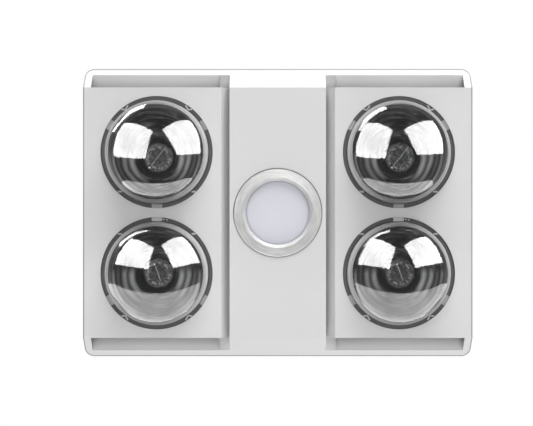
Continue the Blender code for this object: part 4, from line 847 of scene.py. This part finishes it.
def fascia_grooves():
    """The two V-grooves between the pads, with a rounded outer shoulder."""
    slope, reach = GROOVE_WIDTH / GROOVE_DEPTH, FACE_WIDTH / 2 + OVERRUN
    inner_x, outer_x = CENTRE_PAD / 2, CENTRE_PAD / 2 + GROOVE_WIDTH
    section = [(inner_x, FACE_Z - OVERRUN), (outer_x + 0.9 * MM, FACE_Z - OVERRUN)]
    section += mm([(0.9, 0), (0.2, 0.15), (-0.4, 0.6), (-slope * 1.4, 1.4)], FACE_Z, outer_x)
    section.append((inner_x, FACE_Z + GROOVE_DEPTH))
    return [beam("groove", [(side * x, z) for x, z in section], "Y", -reach, reach) for side in (-1, 1)]


def make_fascia():
    recess = plate("recess", [rectangle(459 * MM, 323 * MM)], -1.3 * MM, OVERRUN)
    rounds = [circle(LAMP_HOLE, 128, centre.xy) for _, centre, _ in LAMPS]
    rounds.append(circle(RING_RADIUS + 0.8 * MM, 112))
    holes = [plate("hole", [line], FACE_Z - OVERRUN, FACE_BACK_Z + OVERRUN) for line in rounds]
    fascia = fascia_blank()
    for tools in (fascia_hollows(), fascia_slots(), fascia_grooves(), [recess], holes):
        fascia = with_tools(fascia, "DIFFERENCE", *tools)
    smooth(fascia, 0.7 * MM, 32, 3).modifiers["Edges"].harden_normals = False
    fascia.data.shade_flat()
    dress(fascia, "white_plastic", "fascia", body="fascia_body")


# Lamps

# Where the filament runs across the lamp, in millimetres, for the upper and the lower row
LEAD_ENDS = {-1: ((-7.2, 11.5), (11.5, -12)), 1: ((-1.5, -10), (5, 8))}


def dome_point(share):
    """A point on the front of the bulb, from the widest ring (0) to the tip (1)."""
    turn = share * math.pi / 2
    return (LAMP_RADIUS * math.cos(turn), FACE_Z - DOME_HEIGHT * math.sin(turn))


BAND_SHARE = math.acos(BAND_RADIUS / LAMP_RADIUS) / (math.pi / 2)


def bulb_back():
    """The bulb's back from the widest ring to the neck."""
    depth = CAP_FLOOR - GAP - FACE_Z
    shares = [(0, 1), (0.1, 0.985), (0.22, 0.935), (0.52, 0.67), (0.84, 0.36), (0.94, 0.255), (1, 0.1984)]
    return curve_through([(LAMP_RADIUS * r, FACE_Z + depth * z) for z, r in shares])


def neck_lean(centre, end):
    """How far the throat stands off the lamp's axis, so that it shows where the photo has it."""
    return Vector((math.copysign(4.4 * MM, centre.x), 5.1 * MM if end < 0 else 3.3 * MM, 0))


def leant(ring, lean):
    share = max(0, min(1, (ring[0][2] - LINING_LOW) / (LINING_TOP - LINING_LOW)))
    return [(x + lean.x * share, y + lean.y * share, z) for x, y, z in ring]


def make_bulb(number, centre, end):
    """Clear front, coated back, the mirror inside it and the baffle in its neck."""
    own = {"body": f"lamp_{number}", "place": centre}
    node = f"lamp_bulb_{number}"
    front = [dome_point(BAND_SHARE + (1 - BAND_SHARE) * step / 20) for step in range(21)]
    lathe(f"lamp_glass_{number}", front, 0, 96, "clear_glass", node, **own)
    band = [dome_point(BAND_SHARE * (1 - step / 6)) for step in range(6)]
    coat = sheet_of(band + bulb_back(), -0.5 * MM, 0.1 * MM)
    lathe(f"lamp_coating_{number}", coat, 0, 96, "bulb_coating", node, closed=True, **own)

    shares = [(0, 1), (0.22, 0.93), (0.5, 0.79), (0.8, 0.58), (1, 0.4), (1.5, 0.33)]
    line = curve_through([(59.6 * MM * r, LINING_LOW + (LINING_TOP - LINING_LOW) * z) for z, r in shares])
    lean = neck_lean(centre, end)
    rings = [leant(ring, lean) for ring in rings_at(line, 96)]
    mirror = smooth(skin(f"lamp_mirror_{number}", rings, place=centre))
    dress(mirror, "bulb_mirror", node, body=own["body"])

    profile = mm([(18.6, 0.8), (18.6, 0), (17.6, -0.5), (8, 0), (7, -0.6), (0, -0.6)], BAFFLE_Z)
    own["place"] = centre + lean + Vector((1.8 * MM, -0.8 * MM, 0))
    lathe(f"lamp_baffle_{number}", profile, 0.3 * MM, 64, "neck_baffle", **own)


def make_filament(number, centre, end):
    """A glass stem in the neck, the coiled filament in front of it, its leads, and a small white piece at the
    coil's start that stands in for a glint, a painted highlight.
    """
    body, node = f"lamp_{number}", f"lamp_filament_{number}"
    tip = CAP_FLOOR + GAP - 25 * MM
    profile = mm([(0, 30), (7, 30), (5, 24), (4.6, 8), (2.6, 0), (0, 0)], tip)
    lathe(f"lamp_stem_{number}", profile, 1.5 * MM, 32, "filament_wire", node, body=body, place=centre)

    lean = neck_lean(centre, end) * 0.8
    start, stop = [Vector((*spot, 0)) * MM + lean for spot in LEAD_ENDS[end]]
    along = (stop - start).normalized()
    across = Vector((-along.y, along.x, 0))
    coil, windings, samples, coil_radius = [], 22, 10, 0.7 * MM
    for step in range(windings * samples + 1):
        turn = math.tau * step / samples
        spine = start + (stop - start) * step / (windings * samples) + up(FILAMENT_Z)
        coil.append(spine + up(coil_radius * math.cos(turn)) + across * coil_radius * math.sin(turn))
    leads = []
    for spot in (start, stop):
        leads.append([spot + up(FILAMENT_Z - 0.6 * MM), spot + up(FILAMENT_Z + 4 * MM),
                      spot * 0.7 + up(BAFFLE_Z), spot * 0.3 + up(tip + 4 * MM)])
    # Painted highlight: a small white piece at the start of the coil stands in for a glint.
    glint_clip = start - along * 1.5 * MM + up(FILAMENT_Z - 1 * MM)
    glint_clip = [glint_clip - across * 0.4 * MM, glint_clip - along * 1.8 * MM + across * 0.6 * MM]
    for kind, paths, thickness, finish in (("coil", [coil], 0.5 * MM, "lead_wire"),
                                           ("leads", leads, 0.9 * MM, "nickel"),
                                           ("glint_clip", [glint_clip], 2.3 * MM, "guard_white")):
        dress(wires(f"lamp_{kind}_{number}", paths, thickness, centre), finish, node, body=body)


def make_cap(number, centre):
    """The screw cap: thread, insulator ring and centre button."""
    node, own = f"lamp_cap_{number}", {"body": f"lamp_{number}", "place": centre}
    rows = [ring_at(CAP_RADIUS - 0.5 * MM, CAP_FLOOR, 48)]
    rows += thread(CAP_RADIUS, 1.3 * MM, 3.63 * MM, CAP_FLOOR + 3 * MM, CAP_TOP - 5 * MM)
    rows += rings_at(mm([(11.6, -4.4), (8, -3.2), (0, -3.2)], CAP_TOP), 48)
    shell = smooth(skin(f"lamp_cap_shell_{number}", rows, place=centre))
    dress(shell, "nickel", node, body=own["body"])
    profile = mm([(0, -3.4), (8.2, -3.4), (7, -1.4), (4.6, -1.2), (0, -1.2)], CAP_TOP)
    lathe(f"lamp_cap_bead_{number}", profile, 0.6 * MM, 40, "black_plastic", node, **own)
    profile = mm([(4.8, -1.3), (3.6, -0.3), (0, 0)], CAP_TOP)
    lathe(f"lamp_cap_button_{number}", profile, 0.8 * MM, 40, "nickel", node, **own)


def make_holder(number, centre):
    """Glazed holder with a flange, grooves and two screws, and the brass contact in it."""
    floor, top = CAP_FLOOR - 1 * MM, 134 * MM
    profile = mm([(14, 0), (22, -10), (22, -16), (21, -17), (21, -20), (22, -21)], top)
    profile += mm([(22, 3.4), (30, 3.4), (30, 0), (14.2, 0)], floor)
    profile += mm([(14.2, 2), (2.8, 2)], CAP_TOP) + [(2.8 * MM, top)]
    lathe(f"lamp_holder_body_{number}", profile, 0.8 * MM, 72, "porcelain", f"lamp_holder_{number}",
          place=centre, closed=True)
    places = [Matrix.Translation(centre) @ shift(side * 26 * MM, 0, floor + 3.4 * MM) for side in (-1, 1)]
    make_screws(f"lamp_holder_screws_{number}", 3 * MM, 2 * MM, places)
    profile = mm([(0, -0.3), (2.4, -0.3)], top) + mm([(2.4, 1.7), (6, 1.7), (6, 0.3), (0, 0.3)], CAP_TOP)
    lathe(f"lamp_contact_spring_{number}", profile, 0.4 * MM, 40, "brass", f"lamp_contact_{number}",
          place=centre, body=f"lamp_{number}_contact")


def make_shield(number, centre):
    """The conical heat shield with a rolled rim and pressed rings."""
    rim, top, sheet = TRAY_TOP + GAP, 86.1 * MM, 0.6 * MM
    line = mm([(20, 0), (31, 0), (34, -1)], top)
    for share in (0.25, 0.27, 0.29, 0.6, 0.62, 0.64):
        bead = 0.7 if share in (0.27, 0.62) else 0
        line.append(((34 + 30.5 * share + bead) * MM, top + (rim - top) * share))
    line += mm([(64.5, 0.6), (69.2, 0)], rim)
    lathe(f"heat_shield_{number}", sheet_of(line, sheet * 0.7, sheet * 0.8), 0.5 * MM, 80, "bright_sheet",
          f"lamp_shield_{number}", place=centre, closed=True)


def make_hooks(number, centre, end):
    """White hooks of the lamp guard that show between the collar and the glass."""
    low = -22.3 * MM
    paths = []
    for side in (-1, 1):
        bent = [polar(radius * MM, end * math.radians(degrees), low)
                for radius, degrees in ((66.6, 58.4), (63.8, 53.4), (67.2, 50.6))]
        paths.append([(side * x, y, z) for x, y, z in bent])
    for degrees in (47, 133.2):
        spot = polar(65.3 * MM, -end * math.radians(degrees), low)
        for ends in (((-2.6, 0, 0), (2.6, 0.3, 0)), ((-0.8, 0.8, 0), (1, -0.6, 0))):
            paths.append([spot + Vector(step) * MM for step in ends])
    for degrees in (-82.5, -79.2) if end > 0 else ():
        paths.append([polar(radius * MM, math.radians(degrees), low) for radius in (66.4, 64.9)])
    dress(wires(f"guard_hooks_{number}", paths, 2.1 * MM, centre), "guard_white")


# Lamp tray and light

TRAY_X, TRAY_Y = HOUSING_X - HOUSING_SHEET - GAP, HOUSING_Y - HOUSING_SHEET - GAP
TRAY_SCREWS = [(side * 84 * MM, end * 130 * MM) for side, end in CORNERS]


def tray_plate():
    notch_x, notch_y = TRAY_X - 10 * MM, 12 * MM
    right = [(TRAY_X, -TRAY_Y), (TRAY_X, -notch_y), (notch_x, -notch_y)]
    right += [(x, -y) for x, y in right[::-1]]
    loops = [right + [(-x, -y) for x, y in right], rectangle(140 * MM, 184 * MM, corner=4 * MM)]
    loops += [circle(COLLAR_RADIUS - HOUSING_SHEET, 128, centre.xy) for _, centre, _ in LAMPS]
    loops += [circle(2.7 * MM, 24, (side * CLAMP_X, end * CLAMP_Y)) for side, end in CORNERS]
    loops += [circle(2 * MM, 20, spot) for spot in TRAY_SCREWS]
    return smooth(plate("tray_plate", loops, TRAY_LOW, TRAY_TOP), 0.15 * MM)


def guard_tab(centre, turn):
    """One block of the guard, standing between the collar and the glass."""
    tab = block("guard_tab", (62.9 * MM, -6.4 * MM, -21.4 * MM), (68.4 * MM, 6.4 * MM, -15 * MM), 0.4 * MM)
    tab.matrix_basis = Matrix.Translation(centre) @ Matrix.Rotation(turn, 4, "Z")
    return tab


def make_tray():
    """The tray with its collars and lips, the guard tabs and the screws from below."""
    things, tabs, painted_lighter_tabs = [tray_plate()], [], []
    top, low, inner = TRAY_LOW + 0.4 * MM, -19.6 * MM, COLLAR_RADIUS - HOUSING_SHEET
    collar = [(COLLAR_RADIUS, top), (COLLAR_RADIUS, low)]
    collar += mm([(67.3, -20), (67.3, -20.8), (63, -20.8), (63, -20)]) + [(inner, low), (inner, top)]
    for _, centre, end in LAMPS:
        things.append(turned("collar", collar, 0.15 * MM, 128, place=centre))
        for turn in range(3):
            tab = guard_tab(centre, -end * math.pi / 2 + math.tau * turn / 3)
            # Painted light: the tab on the -Y side of each lamp in the +Y row gets the white finish, painted
            # lighter than the other grey tabs.
            (painted_lighter_tabs if end > 0 and turn == 0 else tabs).append(tab)
    for end in (-1, 1):
        corners = (-100 * MM, end * TRAY_Y, TRAY_LOW), (100 * MM, end * (TRAY_Y - HOUSING_SHEET), 14 * MM)
        things.append(block("lip", *corners, 0.2 * MM))
    dress(joined("tray_sheet", things), "dark_sheet", "lamp_tray")
    dress(joined("guard_tabs", tabs), "guard_grey")
    dress(joined("guard_tab_painted_light", painted_lighter_tabs), "guard_white")
    under = Matrix.Rotation(math.pi, 4, "X")
    make_screws("tray_screws", 3.4 * MM, 1.8 * MM, [shift(*spot, TRAY_LOW) @ under for spot in TRAY_SCREWS])


def make_light():
    """Trim ring, diffuser, can, and the board with its diodes."""
    low = FACE_Z - 1.3 * MM
    joint = mm([(42.7, 4), (42.9, 6.4)], low)
    cone = mm([(-1.1, 15), (0, 15), (0, 0.8), (-0.8, 0)], low, RING_RADIUS) + joint
    cone += mm([(-1.9, 2.4), (-1.1, 2.8)], low, RING_RADIUS)
    lip = joint[::-1] + mm([(42.3, 4.2), (41.9, 4.8), (39.4, 9.4), (38.9, 9.8), (39.3, 10.9)], low)
    for name, profile in (("trim_ring", cone), ("trim_lip", lip)):
        lathe(name, profile, 0.2 * MM, 128, "trim_metal", "light_trim_ring", closed=True)

    floor = low + 11 * MM + GAP
    bulge = [step * math.pi / 24 for step in range(1, 13)]
    profile = mm([(0, 2), (49.5, 2), (49.5, 0), (38, 0)], floor)
    profile += mm([(38 * math.cos(turn), -2.6 * math.sin(turn) ** 0.5) for turn in bulge], floor)
    lathe("diffuser", profile, 0.3 * MM, 96, "opal", "light_diffuser")

    outer, inner, base = RING_RADIUS - 1.5 * MM, RING_RADIUS - 3 * MM, floor + 2.3 * MM
    top, roof = 24 * MM, 22.5 * MM
    profile = [(0, top), (outer, top), (outer, base), (inner, base), (inner, roof), (0, roof)]
    lathe("light_can", profile, 0.8 * MM, 96, "bright_sheet", "light_cup")
    profile = mm([(0, 22.2), (44, 22.2), (44, 20.6), (0, 20.6)])
    lathe("board", profile, 0.2 * MM, 64, "circuit_board", "led_board")
    diode = block("diode", (-1.75 * MM, -1.4 * MM, 19.8 * MM), (1.75 * MM, 1.4 * MM, 20.6 * MM), 0.15 * MM)
    places = [Matrix.Rotation(math.tau * n / count, 4, "Z") @ shift(radius * MM, 0, 0)
              for radius, count in ((14, 6), (27, 12), (38, 18)) for n in range(count)]
    dress(copies("light_diodes", settled(diode), places), "ivory_plastic")


# Fan and duct

QUARTERS = [math.pi / 4 + n * math.pi / 2 for n in range(4)]


def volute_path():
    """The spiral of the fan's wall, with its two straight ends at the duct."""
    end_y, tongue, steps = SPIGOT_START_Y - GAP, math.radians(65), 64
    shares = [step / steps for step in range(steps + 1)]
    spiral = [polar((80 + 24 * share) * MM, tongue + (math.tau - tongue) * share).xy for share in shares]
    return [(spiral[0].x, end_y), *spiral, (spiral[-1].x, end_y)]


def standing_sheet(name, lines, low, high, thickness, offset):
    """Upright sheet metal over lines in XY, from height low to high."""
    shape = bmesh.new()
    for line in lines:
        rows = [[shape.verts.new((x, y, z)) for x, y in line] for z in (low, high)]
        for here in range(len(line) - 1):
            shape.faces.new([rows[0][here], rows[0][here + 1], rows[1][here + 1], rows[1][here]])
    wall = add(name, mesh_of(name, shape))
    sheet = wall.modifiers.new("Sheet", "SOLIDIFY")
    sheet.thickness, sheet.offset = thickness, offset
    return wall


def make_fan_casing():
    """The volute's wall, and the plate below it with the bellmouth."""
    path = volute_path()
    wall = standing_sheet("fan_casing", [path], VOLUTE_FLOOR + GAP, HOUSING_CEILING - GAP, HOUSING_SHEET, 1)
    wall.modifiers["Sheet"].use_even_offset = True
    dress(smooth(wall, 0.2 * MM), "galvanised", "fan_volute")
    base = VOLUTE_FLOOR - HOUSING_SHEET
    floor = smooth(plate("casing_floor", [path, circle(54.5 * MM, 96)], base, VOLUTE_FLOOR), 0.2 * MM)
    line = mm([(56.5, -0.8), (55, 0.4), (53.2, 3), (52.2, 6), (52, 9)], base)
    mouth = turned("bellmouth", sheet_of(line, 0.8 * MM, 0.2 * MM), 0.2 * MM, 96)
    dress(joined("fan_inlet", [floor, mouth]), "galvanised", "fan_inlet_plate")


def make_impeller():
    """Backplate, hub, inlet ring and curved blades."""
    top, floor, blades = 144 * MM, 84 * MM, 36
    profile = mm([(3.3, 0), (75, 0), (75, -1.2), (24, -1.2), (11, -5), (11, -16), (3.3, -16)], top)
    backplate = turned("backplate", profile, 0.4 * MM, 96)
    ring = turned("inlet_ring", mm([(75, 3), (75, 0), (60, 0), (60, 3)], floor), 0.6 * MM, 96)
    bend = [((61 + 12.5 * share) * MM, 0.1 * share + 0.07 * share**2) for share in (0, 0.2, 0.4, 0.6, 0.8, 1)]
    lines = [[polar(radius, turn + math.tau * number / blades).xy for radius, turn in bend]
             for number in range(blades)]
    blades = standing_sheet("blades", lines, floor + 1.5 * MM, top - 0.6 * MM, 0.9 * MM, 0)
    dress(joined("fan_wheel", [backplate, ring, blades]), "grey_plastic", "impeller", body="fan_rotor")


def make_motor():
    low, vents = HOUSING_TOP + GAP, 12
    profile = mm([(0, 31), (13, 31), (14, 28.5), (36, 27), (42, 22), (42, 19), (41.2, 18.6), (41.2, 17.6),
                  (42, 17.2), (42, 5), (44, 2), (50, 2), (50, 0), (0, 0)], low)
    can = turned("motor_can", profile, 0.9 * MM, 96, closed=False)
    slots = []
    for number in range(vents):
        slot = block("slot", (19 * MM, -1.6 * MM, low + 19 * MM), (33 * MM, 1.6 * MM, low + 33 * MM))
        slot.data.transform(Matrix.Rotation(math.tau * (number + 0.5) / vents, 4, "Z"))
        slots.append(slot)
    can = smooth(with_tools(can, "DIFFERENCE", joined("slots", slots)), 0.25 * MM)
    dress(can, "motor_paint", "fan_motor")
    places = [Matrix.Translation(polar(46.5 * MM, turn, low + 2 * MM)) for turn in QUARTERS]
    make_screws("motor_screws", 2.8 * MM, 2 * MM, places)


def make_spigot():
    """The duct's tube with its two beads and its flange, and the flange's screws."""
    face, end, tube = HOUSING_Y + GAP, 179.8 * MM, SPIGOT_RADIUS
    bore = tube - 1.2 * MM
    profile = mm([(-0.5, 0), (0, -3), (0, -8), (0.9, -9), (0, -10)], end, tube)
    profile += mm([(0, 9), (0.9, 8), (0, 7), (0, 1.4), (4, 1.2), (4, 0), (0, 0)], face, tube)
    profile += [(tube, SPIGOT_START_Y), (bore, SPIGOT_START_Y), (bore, end)]
    spigot = turned("spigot", profile, 0.5 * MM, 128)
    along_duct = Matrix.Rotation(-math.pi / 2, 4, "X")
    spigot.data.transform(shift(SPIGOT_X, 0, SPIGOT_Z) @ along_duct)
    dress(spigot, "spigot_plastic", "duct_spigot")
    spots = [polar(51.1 * MM, turn) for turn in QUARTERS]
    places = [shift(SPIGOT_X + spot.x, face + 1.2 * MM, SPIGOT_Z + spot.y) @ along_duct for spot in spots]
    make_screws("spigot_screws", 1.7 * MM, 1.2 * MM, places)


# Housing, clamps and wiring


def make_housing_details():
    """Folded lid edges and screws on the sheet-metal box."""
    near, far, top, low = 0.05 * MM, 0.9 * MM, HOUSING_TOP, HOUSING_TOP - 11 * MM
    out_x, out_y, screw_z = HOUSING_X + far, HOUSING_Y + far, HOUSING_TOP - 5.5 * MM
    spans = [((side * (HOUSING_X + near), -HOUSING_Y), (side * out_x, HOUSING_Y)) for side in (-1, 1)]
    for end, start, stop in ((-1, -HOUSING_X, HOUSING_X), (1, -HOUSING_X, 8 * MM), (1, 130 * MM, HOUSING_X)):
        spans.append(((start, end * (HOUSING_Y + near)), (stop, end * out_y)))
    folds = [block("fold", (*corner, low), (*other, top), 0.25 * MM) for corner, other in spans]
    dress(joined("housing_lid_folds", folds), "galvanised")
    places = []
    for side in (-1, 1):
        wall = Matrix.Rotation(side * math.pi / 2, 4, "Y")
        places += [shift(side * out_x, y * MM, screw_z) @ wall for y in (-120, 0, 120)]
    for end, spots in ((-1, (-180, -60, 60, 180)), (1, (-180, -60, 180))):
        wall = Matrix.Rotation(-end * math.pi / 2, 4, "X")
        places += [shift(x * MM, end * out_y, screw_z) @ wall for x in spots]
    make_screws("housing_screws", 3.4 * MM, 1.9 * MM, places)


def make_clamp_screws():
    for number, (side, end) in enumerate(CORNERS, 1):
        rows = rings_at(mm([(0, -2.6), (3.4, -3), (4.4, -2), (4.5, 0), (2.4, 0.05)], TRAY_LOW - GAP), 24)
        rows += thread(2.4 * MM, 0.5 * MM, 1 * MM, TRAY_LOW + 1 * MM, 73 * MM, 24)
        rows += rings_at(mm([(1.7, 74), (0, 74)]), 24)
        screw = smooth(skin(f"clamp_bolt_{number}", rows, place=(side * CLAMP_X, end * CLAMP_Y, 0)))
        dress(screw, "zinc", f"clamp_screw_{number}")


def make_gland():
    """Hexagon, ribbed dome nut and thread of the cable gland."""
    rows = rings_at(mm([(4.5, 9), (7.6, 9)]), 48)
    rows += thread(8 * MM, 0.6 * MM, 1.5 * MM, 0, 8.4 * MM)[::-1]
    rows += rings_at(mm([(8, -0.3), (4.5, -0.3)]), 48)
    threaded = skin("gland_thread", rows, closed=True)
    outline = [circle(12.5 * MM, 6), circle(4.5 * MM, 32)]
    hexagon = smooth(plate("hexagon", outline, -6.3 * MM, -0.3 * MM), 0.5 * MM)
    turns = [math.tau * step / 96 for step in range(96)]
    rings = []
    for radius, low in mm([(4.5, -6.1), (9.6, -6.1), (9.6, -11), (8.4, -14), (6.5, -15.3), (4.5, -15.3)]):
        ribs = 0.3 * MM if radius > 9 * MM else 0
        rings.append([polar(radius + ribs * (math.cos(turn * 24) - 1), turn, low) for turn in turns])
    gland = joined("gland", [threaded, hexagon, skin("nose", rings, closed=True)])
    stand = shift(TERMINAL_X - 50 * MM, TERMINAL_Y, COVER_FLOOR + 18 * MM)
    gland.data.transform(stand @ Matrix.Rotation(math.pi / 2, 4, "Y"))
    dress(gland, "grey_plastic", "cable_gland")


def make_cutout():
    """The thermal cut-out on the tray, with its two tabs."""
    floor = TRAY_TOP + GAP
    profile = mm([(0, 8), (6, 8), (6, 5), (9, 5), (9, 0), (0, 0)], floor)
    lathe("cutout", profile, 0.5 * MM, 48, "black_plastic", "thermal_cutout", place=(-98 * MM, 0, 0))
    tabs = []
    for x in (-101 * MM, -95 * MM):
        foot, head = (x - 0.4 * MM, -3.1 * MM, floor + 8 * MM), (x + 0.4 * MM, 3.1 * MM, floor + 15 * MM)
        tabs.append(block("tab", foot, head, 0.1 * MM))
    dress(joined("cutout_tabs", tabs), "brass")


def make_wiring_screws():
    """Screws of the terminal cover and of the terminals."""
    places = [shift(TERMINAL_X + side * 40 * MM, TERMINAL_Y, COVER_FLOOR + 36 * MM) for side in (-1, 1)]
    make_screws("cover_screws", 3.2 * MM, 1.4 * MM, places)
    pitch = 66 * MM / 5
    places = [shift(TERMINAL_X - 33 * MM + pitch * (n + 0.5), TERMINAL_Y + y * MM, COVER_FLOOR + 19 * MM)
              for n in range(5) for y in (-4, 4)]
    make_screws("terminal_screws", 1.8 * MM, 0.8 * MM, places, "brass")


make_fascia()
for number, centre, end in LAMPS:
    make_bulb(number, centre, end)
    make_filament(number, centre, end)
    make_cap(number, centre)
    make_holder(number, centre)
    make_shield(number, centre)
    make_hooks(number, centre, end)
for make in (make_tray, make_light, make_fan_casing, make_impeller, make_motor, make_spigot,
             make_housing_details, make_clamp_screws, make_gland, make_cutout, make_wiring_screws):
    make()

KEPT = {
    "galvanised": ["housing"], "bright_sheet": ["light_bridge"], "ivory_plastic": ["terminal_block"],
    "grey_plastic": ["led_driver", "terminal_cover", "backdraft_flap_left", "backdraft_flap_right",
                     *(f"clamp_foot_{number}" for number in range(1, 5))],
    "spring_steel": ["fascia_spring_left", "fascia_spring_right"],
    "bright_steel": ["motor_shaft", "flap_pin"], "brass": [f"clamp_nut_{number}" for number in range(1, 5)],
}
for finish, nodes in KEPT.items():
    for node in nodes:
        keep(node, finish)


# Studio

CAMERA_Z, LENS, SENSOR_WIDTH = FACE_Z - 1576 * MM, 88.19, 36
SHIFT_RIGHT, SHIFT_UP = -0.0211, -0.0006
FLOOR_Z, FLOOR_REACH = -2.4, 40
WORLD_LIGHT, WORLD_SEEN = 0.46, 1.0


def make_camera():
    data = bpy.data.cameras.new("camera")
    data.sensor_width, data.lens = SENSOR_WIDTH, LENS
    data.shift_x, data.shift_y = SHIFT_RIGHT, SHIFT_UP
    data.clip_start, data.clip_end = 0.05, 60
    camera = add("camera", data, (0, 0, CAMERA_Z))
    camera.rotation_euler = (math.pi, 0, 0)
    bpy.context.scene.camera = camera


def softbox(name, spot, size, radiance, receivers, blockers=None, turn=None, shape="RECTANGLE"):
    """A lamp at a spot, turned to the object, as bright per area as radiance says."""
    data = bpy.data.lights.new(name, "AREA")
    data.shape = shape
    data.size, data.size_y = size
    area = size[0] * size[1] * (math.pi / 4 if shape == "ELLIPSE" else 1)
    data.energy = radiance * math.pi * area
    lamp = add(name, data, spot)
    lamp.rotation_mode = "QUATERNION"
    lamp.rotation_quaternion = turn or (-Vector(spot)).to_track_quat("-Z", "Y")
    lamp.visible_camera = False
    lamp.light_linking.receiver_collection = receivers
    if blockers:
        lamp.light_linking.blocker_collection = blockers


def group_of(name, pieces, state="INCLUDE"):
    """A collection that tells a lamp which pieces it lights, or which it leaves out."""
    group = bpy.data.collections.new(name)
    for piece in pieces:
        group.objects.link(bpy.data.objects[piece])
    for held in group.collection_objects:
        held.light_linking.link_state = state
    return group


def mirror_card(name, corners, centre, radiance, receivers, blockers):
    """A softbox with given corners (inner top, inner bottom, outer bottom) from a lamp's centre."""
    top, foot, far = [Vector(corner) for corner in corners]
    along, rise = far - foot, top - foot
    x, middle = along.normalized(), foot + (along + rise) / 2
    y = (rise - x * rise.dot(x)).normalized()
    if x.cross(y).dot(middle) < 0:
        y = -y
    turn = Matrix((x, y, x.cross(y))).transposed().to_quaternion()
    softbox(name, centre + middle, (along.length, rise.length), radiance, receivers, blockers, turn)


def strip(*directions):
    """Corners of a card given as azimuths and tilts from straight down, as the lamp sees them."""
    corners, distance = [], 2.0
    for azimuth, tilt in directions:
        down = math.radians(tilt)
        corners.append(distance * polar(math.sin(down), math.radians(azimuth), -math.cos(down)))
    return corners


# The cards that each lamp's glass shows, from that lamp's centre: left, right and the thin arc
CARDS = {
    1: [((-0.27, -1.41, -2.51), (-0.6, 0.37, -2.57), (-2.21, 0.14, -0.36)),
        ((0.29, -1.57, -2.42), (1.13, 0.16, -2.75), (2.45, 0.03, -0.05)),
        strip((-155, 113), (-155, 94), (-109, 94))],
    2: [((-0.13, -1.54, -2.74), (-0.52, 0.41, -2.79), (-2.18, 0.16, -0.23)),
        ((0.41, -1.42, -2.2), (1.15, 0.14, -2.54), (2.46, 0.02, -0.21)),
        strip((-149, 104), (-149, 86), (-103, 88))],
    3: [((-0.29, -1.76, -2.31), (-0.52, -0.2, -2.36), (-1.81, -0.33, -0.37)),
        ((0.26, -1.92, -2.12), (0.98, -0.31, -2.35), (2.22, -0.52, 0.15)),
        strip((-147, 105), (-147, 91), (-105, 82))],
    4: [((-0.13, -1.88, -2.46), (-0.44, -0.21, -2.52), (-1.74, -0.36, -0.28)),
        ((0.4, -1.75, -1.96), (1.01, -0.28, -2.19), (2.28, -0.47, -0.02)),
        strip((-142, 100), (-142, 86), (-99, 80))],
}
CARD_LIGHT, ARC_LIGHT = {-1: 28, 1: 29.6}, 20
# The wide low card of the upper and the lower row: centre from the lamp, size and light
LOW_CARDS = {-1: ((0, 2, 0), (5.2, 3.42), 8.6), 1: ((0, 1, 1), (8.3, 5.6), 7.9)}


def make_lights():
    glasses = [f"lamp_glass_{number}" for number, _, _ in LAMPS]
    box = [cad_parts["housing"].name, "housing_lid_folds"]
    rest = group_of("all_but_glass_and_box", [*glasses, *box], "EXCLUDE")
    plain = group_of("all_but_glass_ring_and_box", [*glasses, *box, "trim_ring"], "EXCLUDE")
    ring = group_of("ring", ["trim_ring"])
    inner = group_of("inside_the_bulbs", [f"lamp_{kind}_{number}" for number, _, _ in LAMPS
                                          for kind in ("mirror", "baffle", "coil", "leads", "glint_clip")])
    unglazed = group_of("all_but_glass", glasses, "EXCLUDE")
    softbox("key_rear", (0.4, -2.3, -0.7), (2.2, 1.0), 9.8, plain)
    softbox("fill_front", (0.3, 2.3, -0.6), (2.2, 1.0), 4.0, rest)
    softbox("ring_light", (-0.6, 1.9, -0.9), (1.0, 1.0), 5.9, ring)
    softbox("ring_rear", (0.2, -2.0, -0.9), (1.0, 1.0), 3.2, ring)
    softbox("inside_light", (-0.5, -0.4, -2.0), (1.4, 1.4), 4.6, inner)
    softbox("overhead", (0.6, -0.6, 2.6), (2.0, 2.0), 1.3, unglazed)
    softbox("box_front", (-1.6, -2.4, 0.5), (1.6, 1.6), 2.4, group_of("box", box))
    softbox("box_rear", (1.6, 2.4, 0.5), (1.6, 1.6), 2.4, group_of("box_again", box))
    floor = group_of("floor_only", ["floor"])
    facing = Vector((0, 1, 0)).to_track_quat("Z", "Y")
    for number, centre, end in LAMPS:
        glass = group_of(f"glass_{number}", [f"lamp_glass_{number}"])
        for index, corners in enumerate(CARDS[number]):
            light = CARD_LIGHT[end] if index < 2 else ARC_LIGHT
            mirror_card(f"card_{index}_{number}", corners, centre, light, glass, floor)
        place, size, light = LOW_CARDS[end]
        spot = centre + Vector(place)
        softbox(f"low_card_{number}", spot, size, light, glass, floor, facing, "ELLIPSE")


def make_floor():
    shape = bmesh.new()
    bmesh.ops.create_grid(shape, x_segments=4, y_segments=4, size=FLOOR_REACH)
    floor = add("floor", mesh_of("floor", shape), (0, 0, FLOOR_Z))
    floor.data.materials.append(plain_floor())


def make_world():
    """White behind the object and in mirrors, softer grey as light."""
    world = bpy.data.worlds.new("studio")
    bpy.context.scene.world = world
    nodes = Nodes(world)
    kinds = ("Glossy", "Transmission", "Camera")
    mirrored, through, seen = [nodes.node("ShaderNodeLightPath", output=f"Is {kind} Ray") for kind in kinds]
    bright = nodes.at_least(seen, nodes.at_least(mirrored, through))
    background = nodes.tree.nodes["Background"].inputs
    nodes.join(background["Strength"], nodes.span(bright, 0, 1, WORLD_LIGHT, WORLD_SEEN))
    nodes.join(background["Color"], (1, 1, 1))


make_floor()
make_world()
make_lights()
make_camera()
bpy.context.scene.view_settings.view_transform = "Standard"
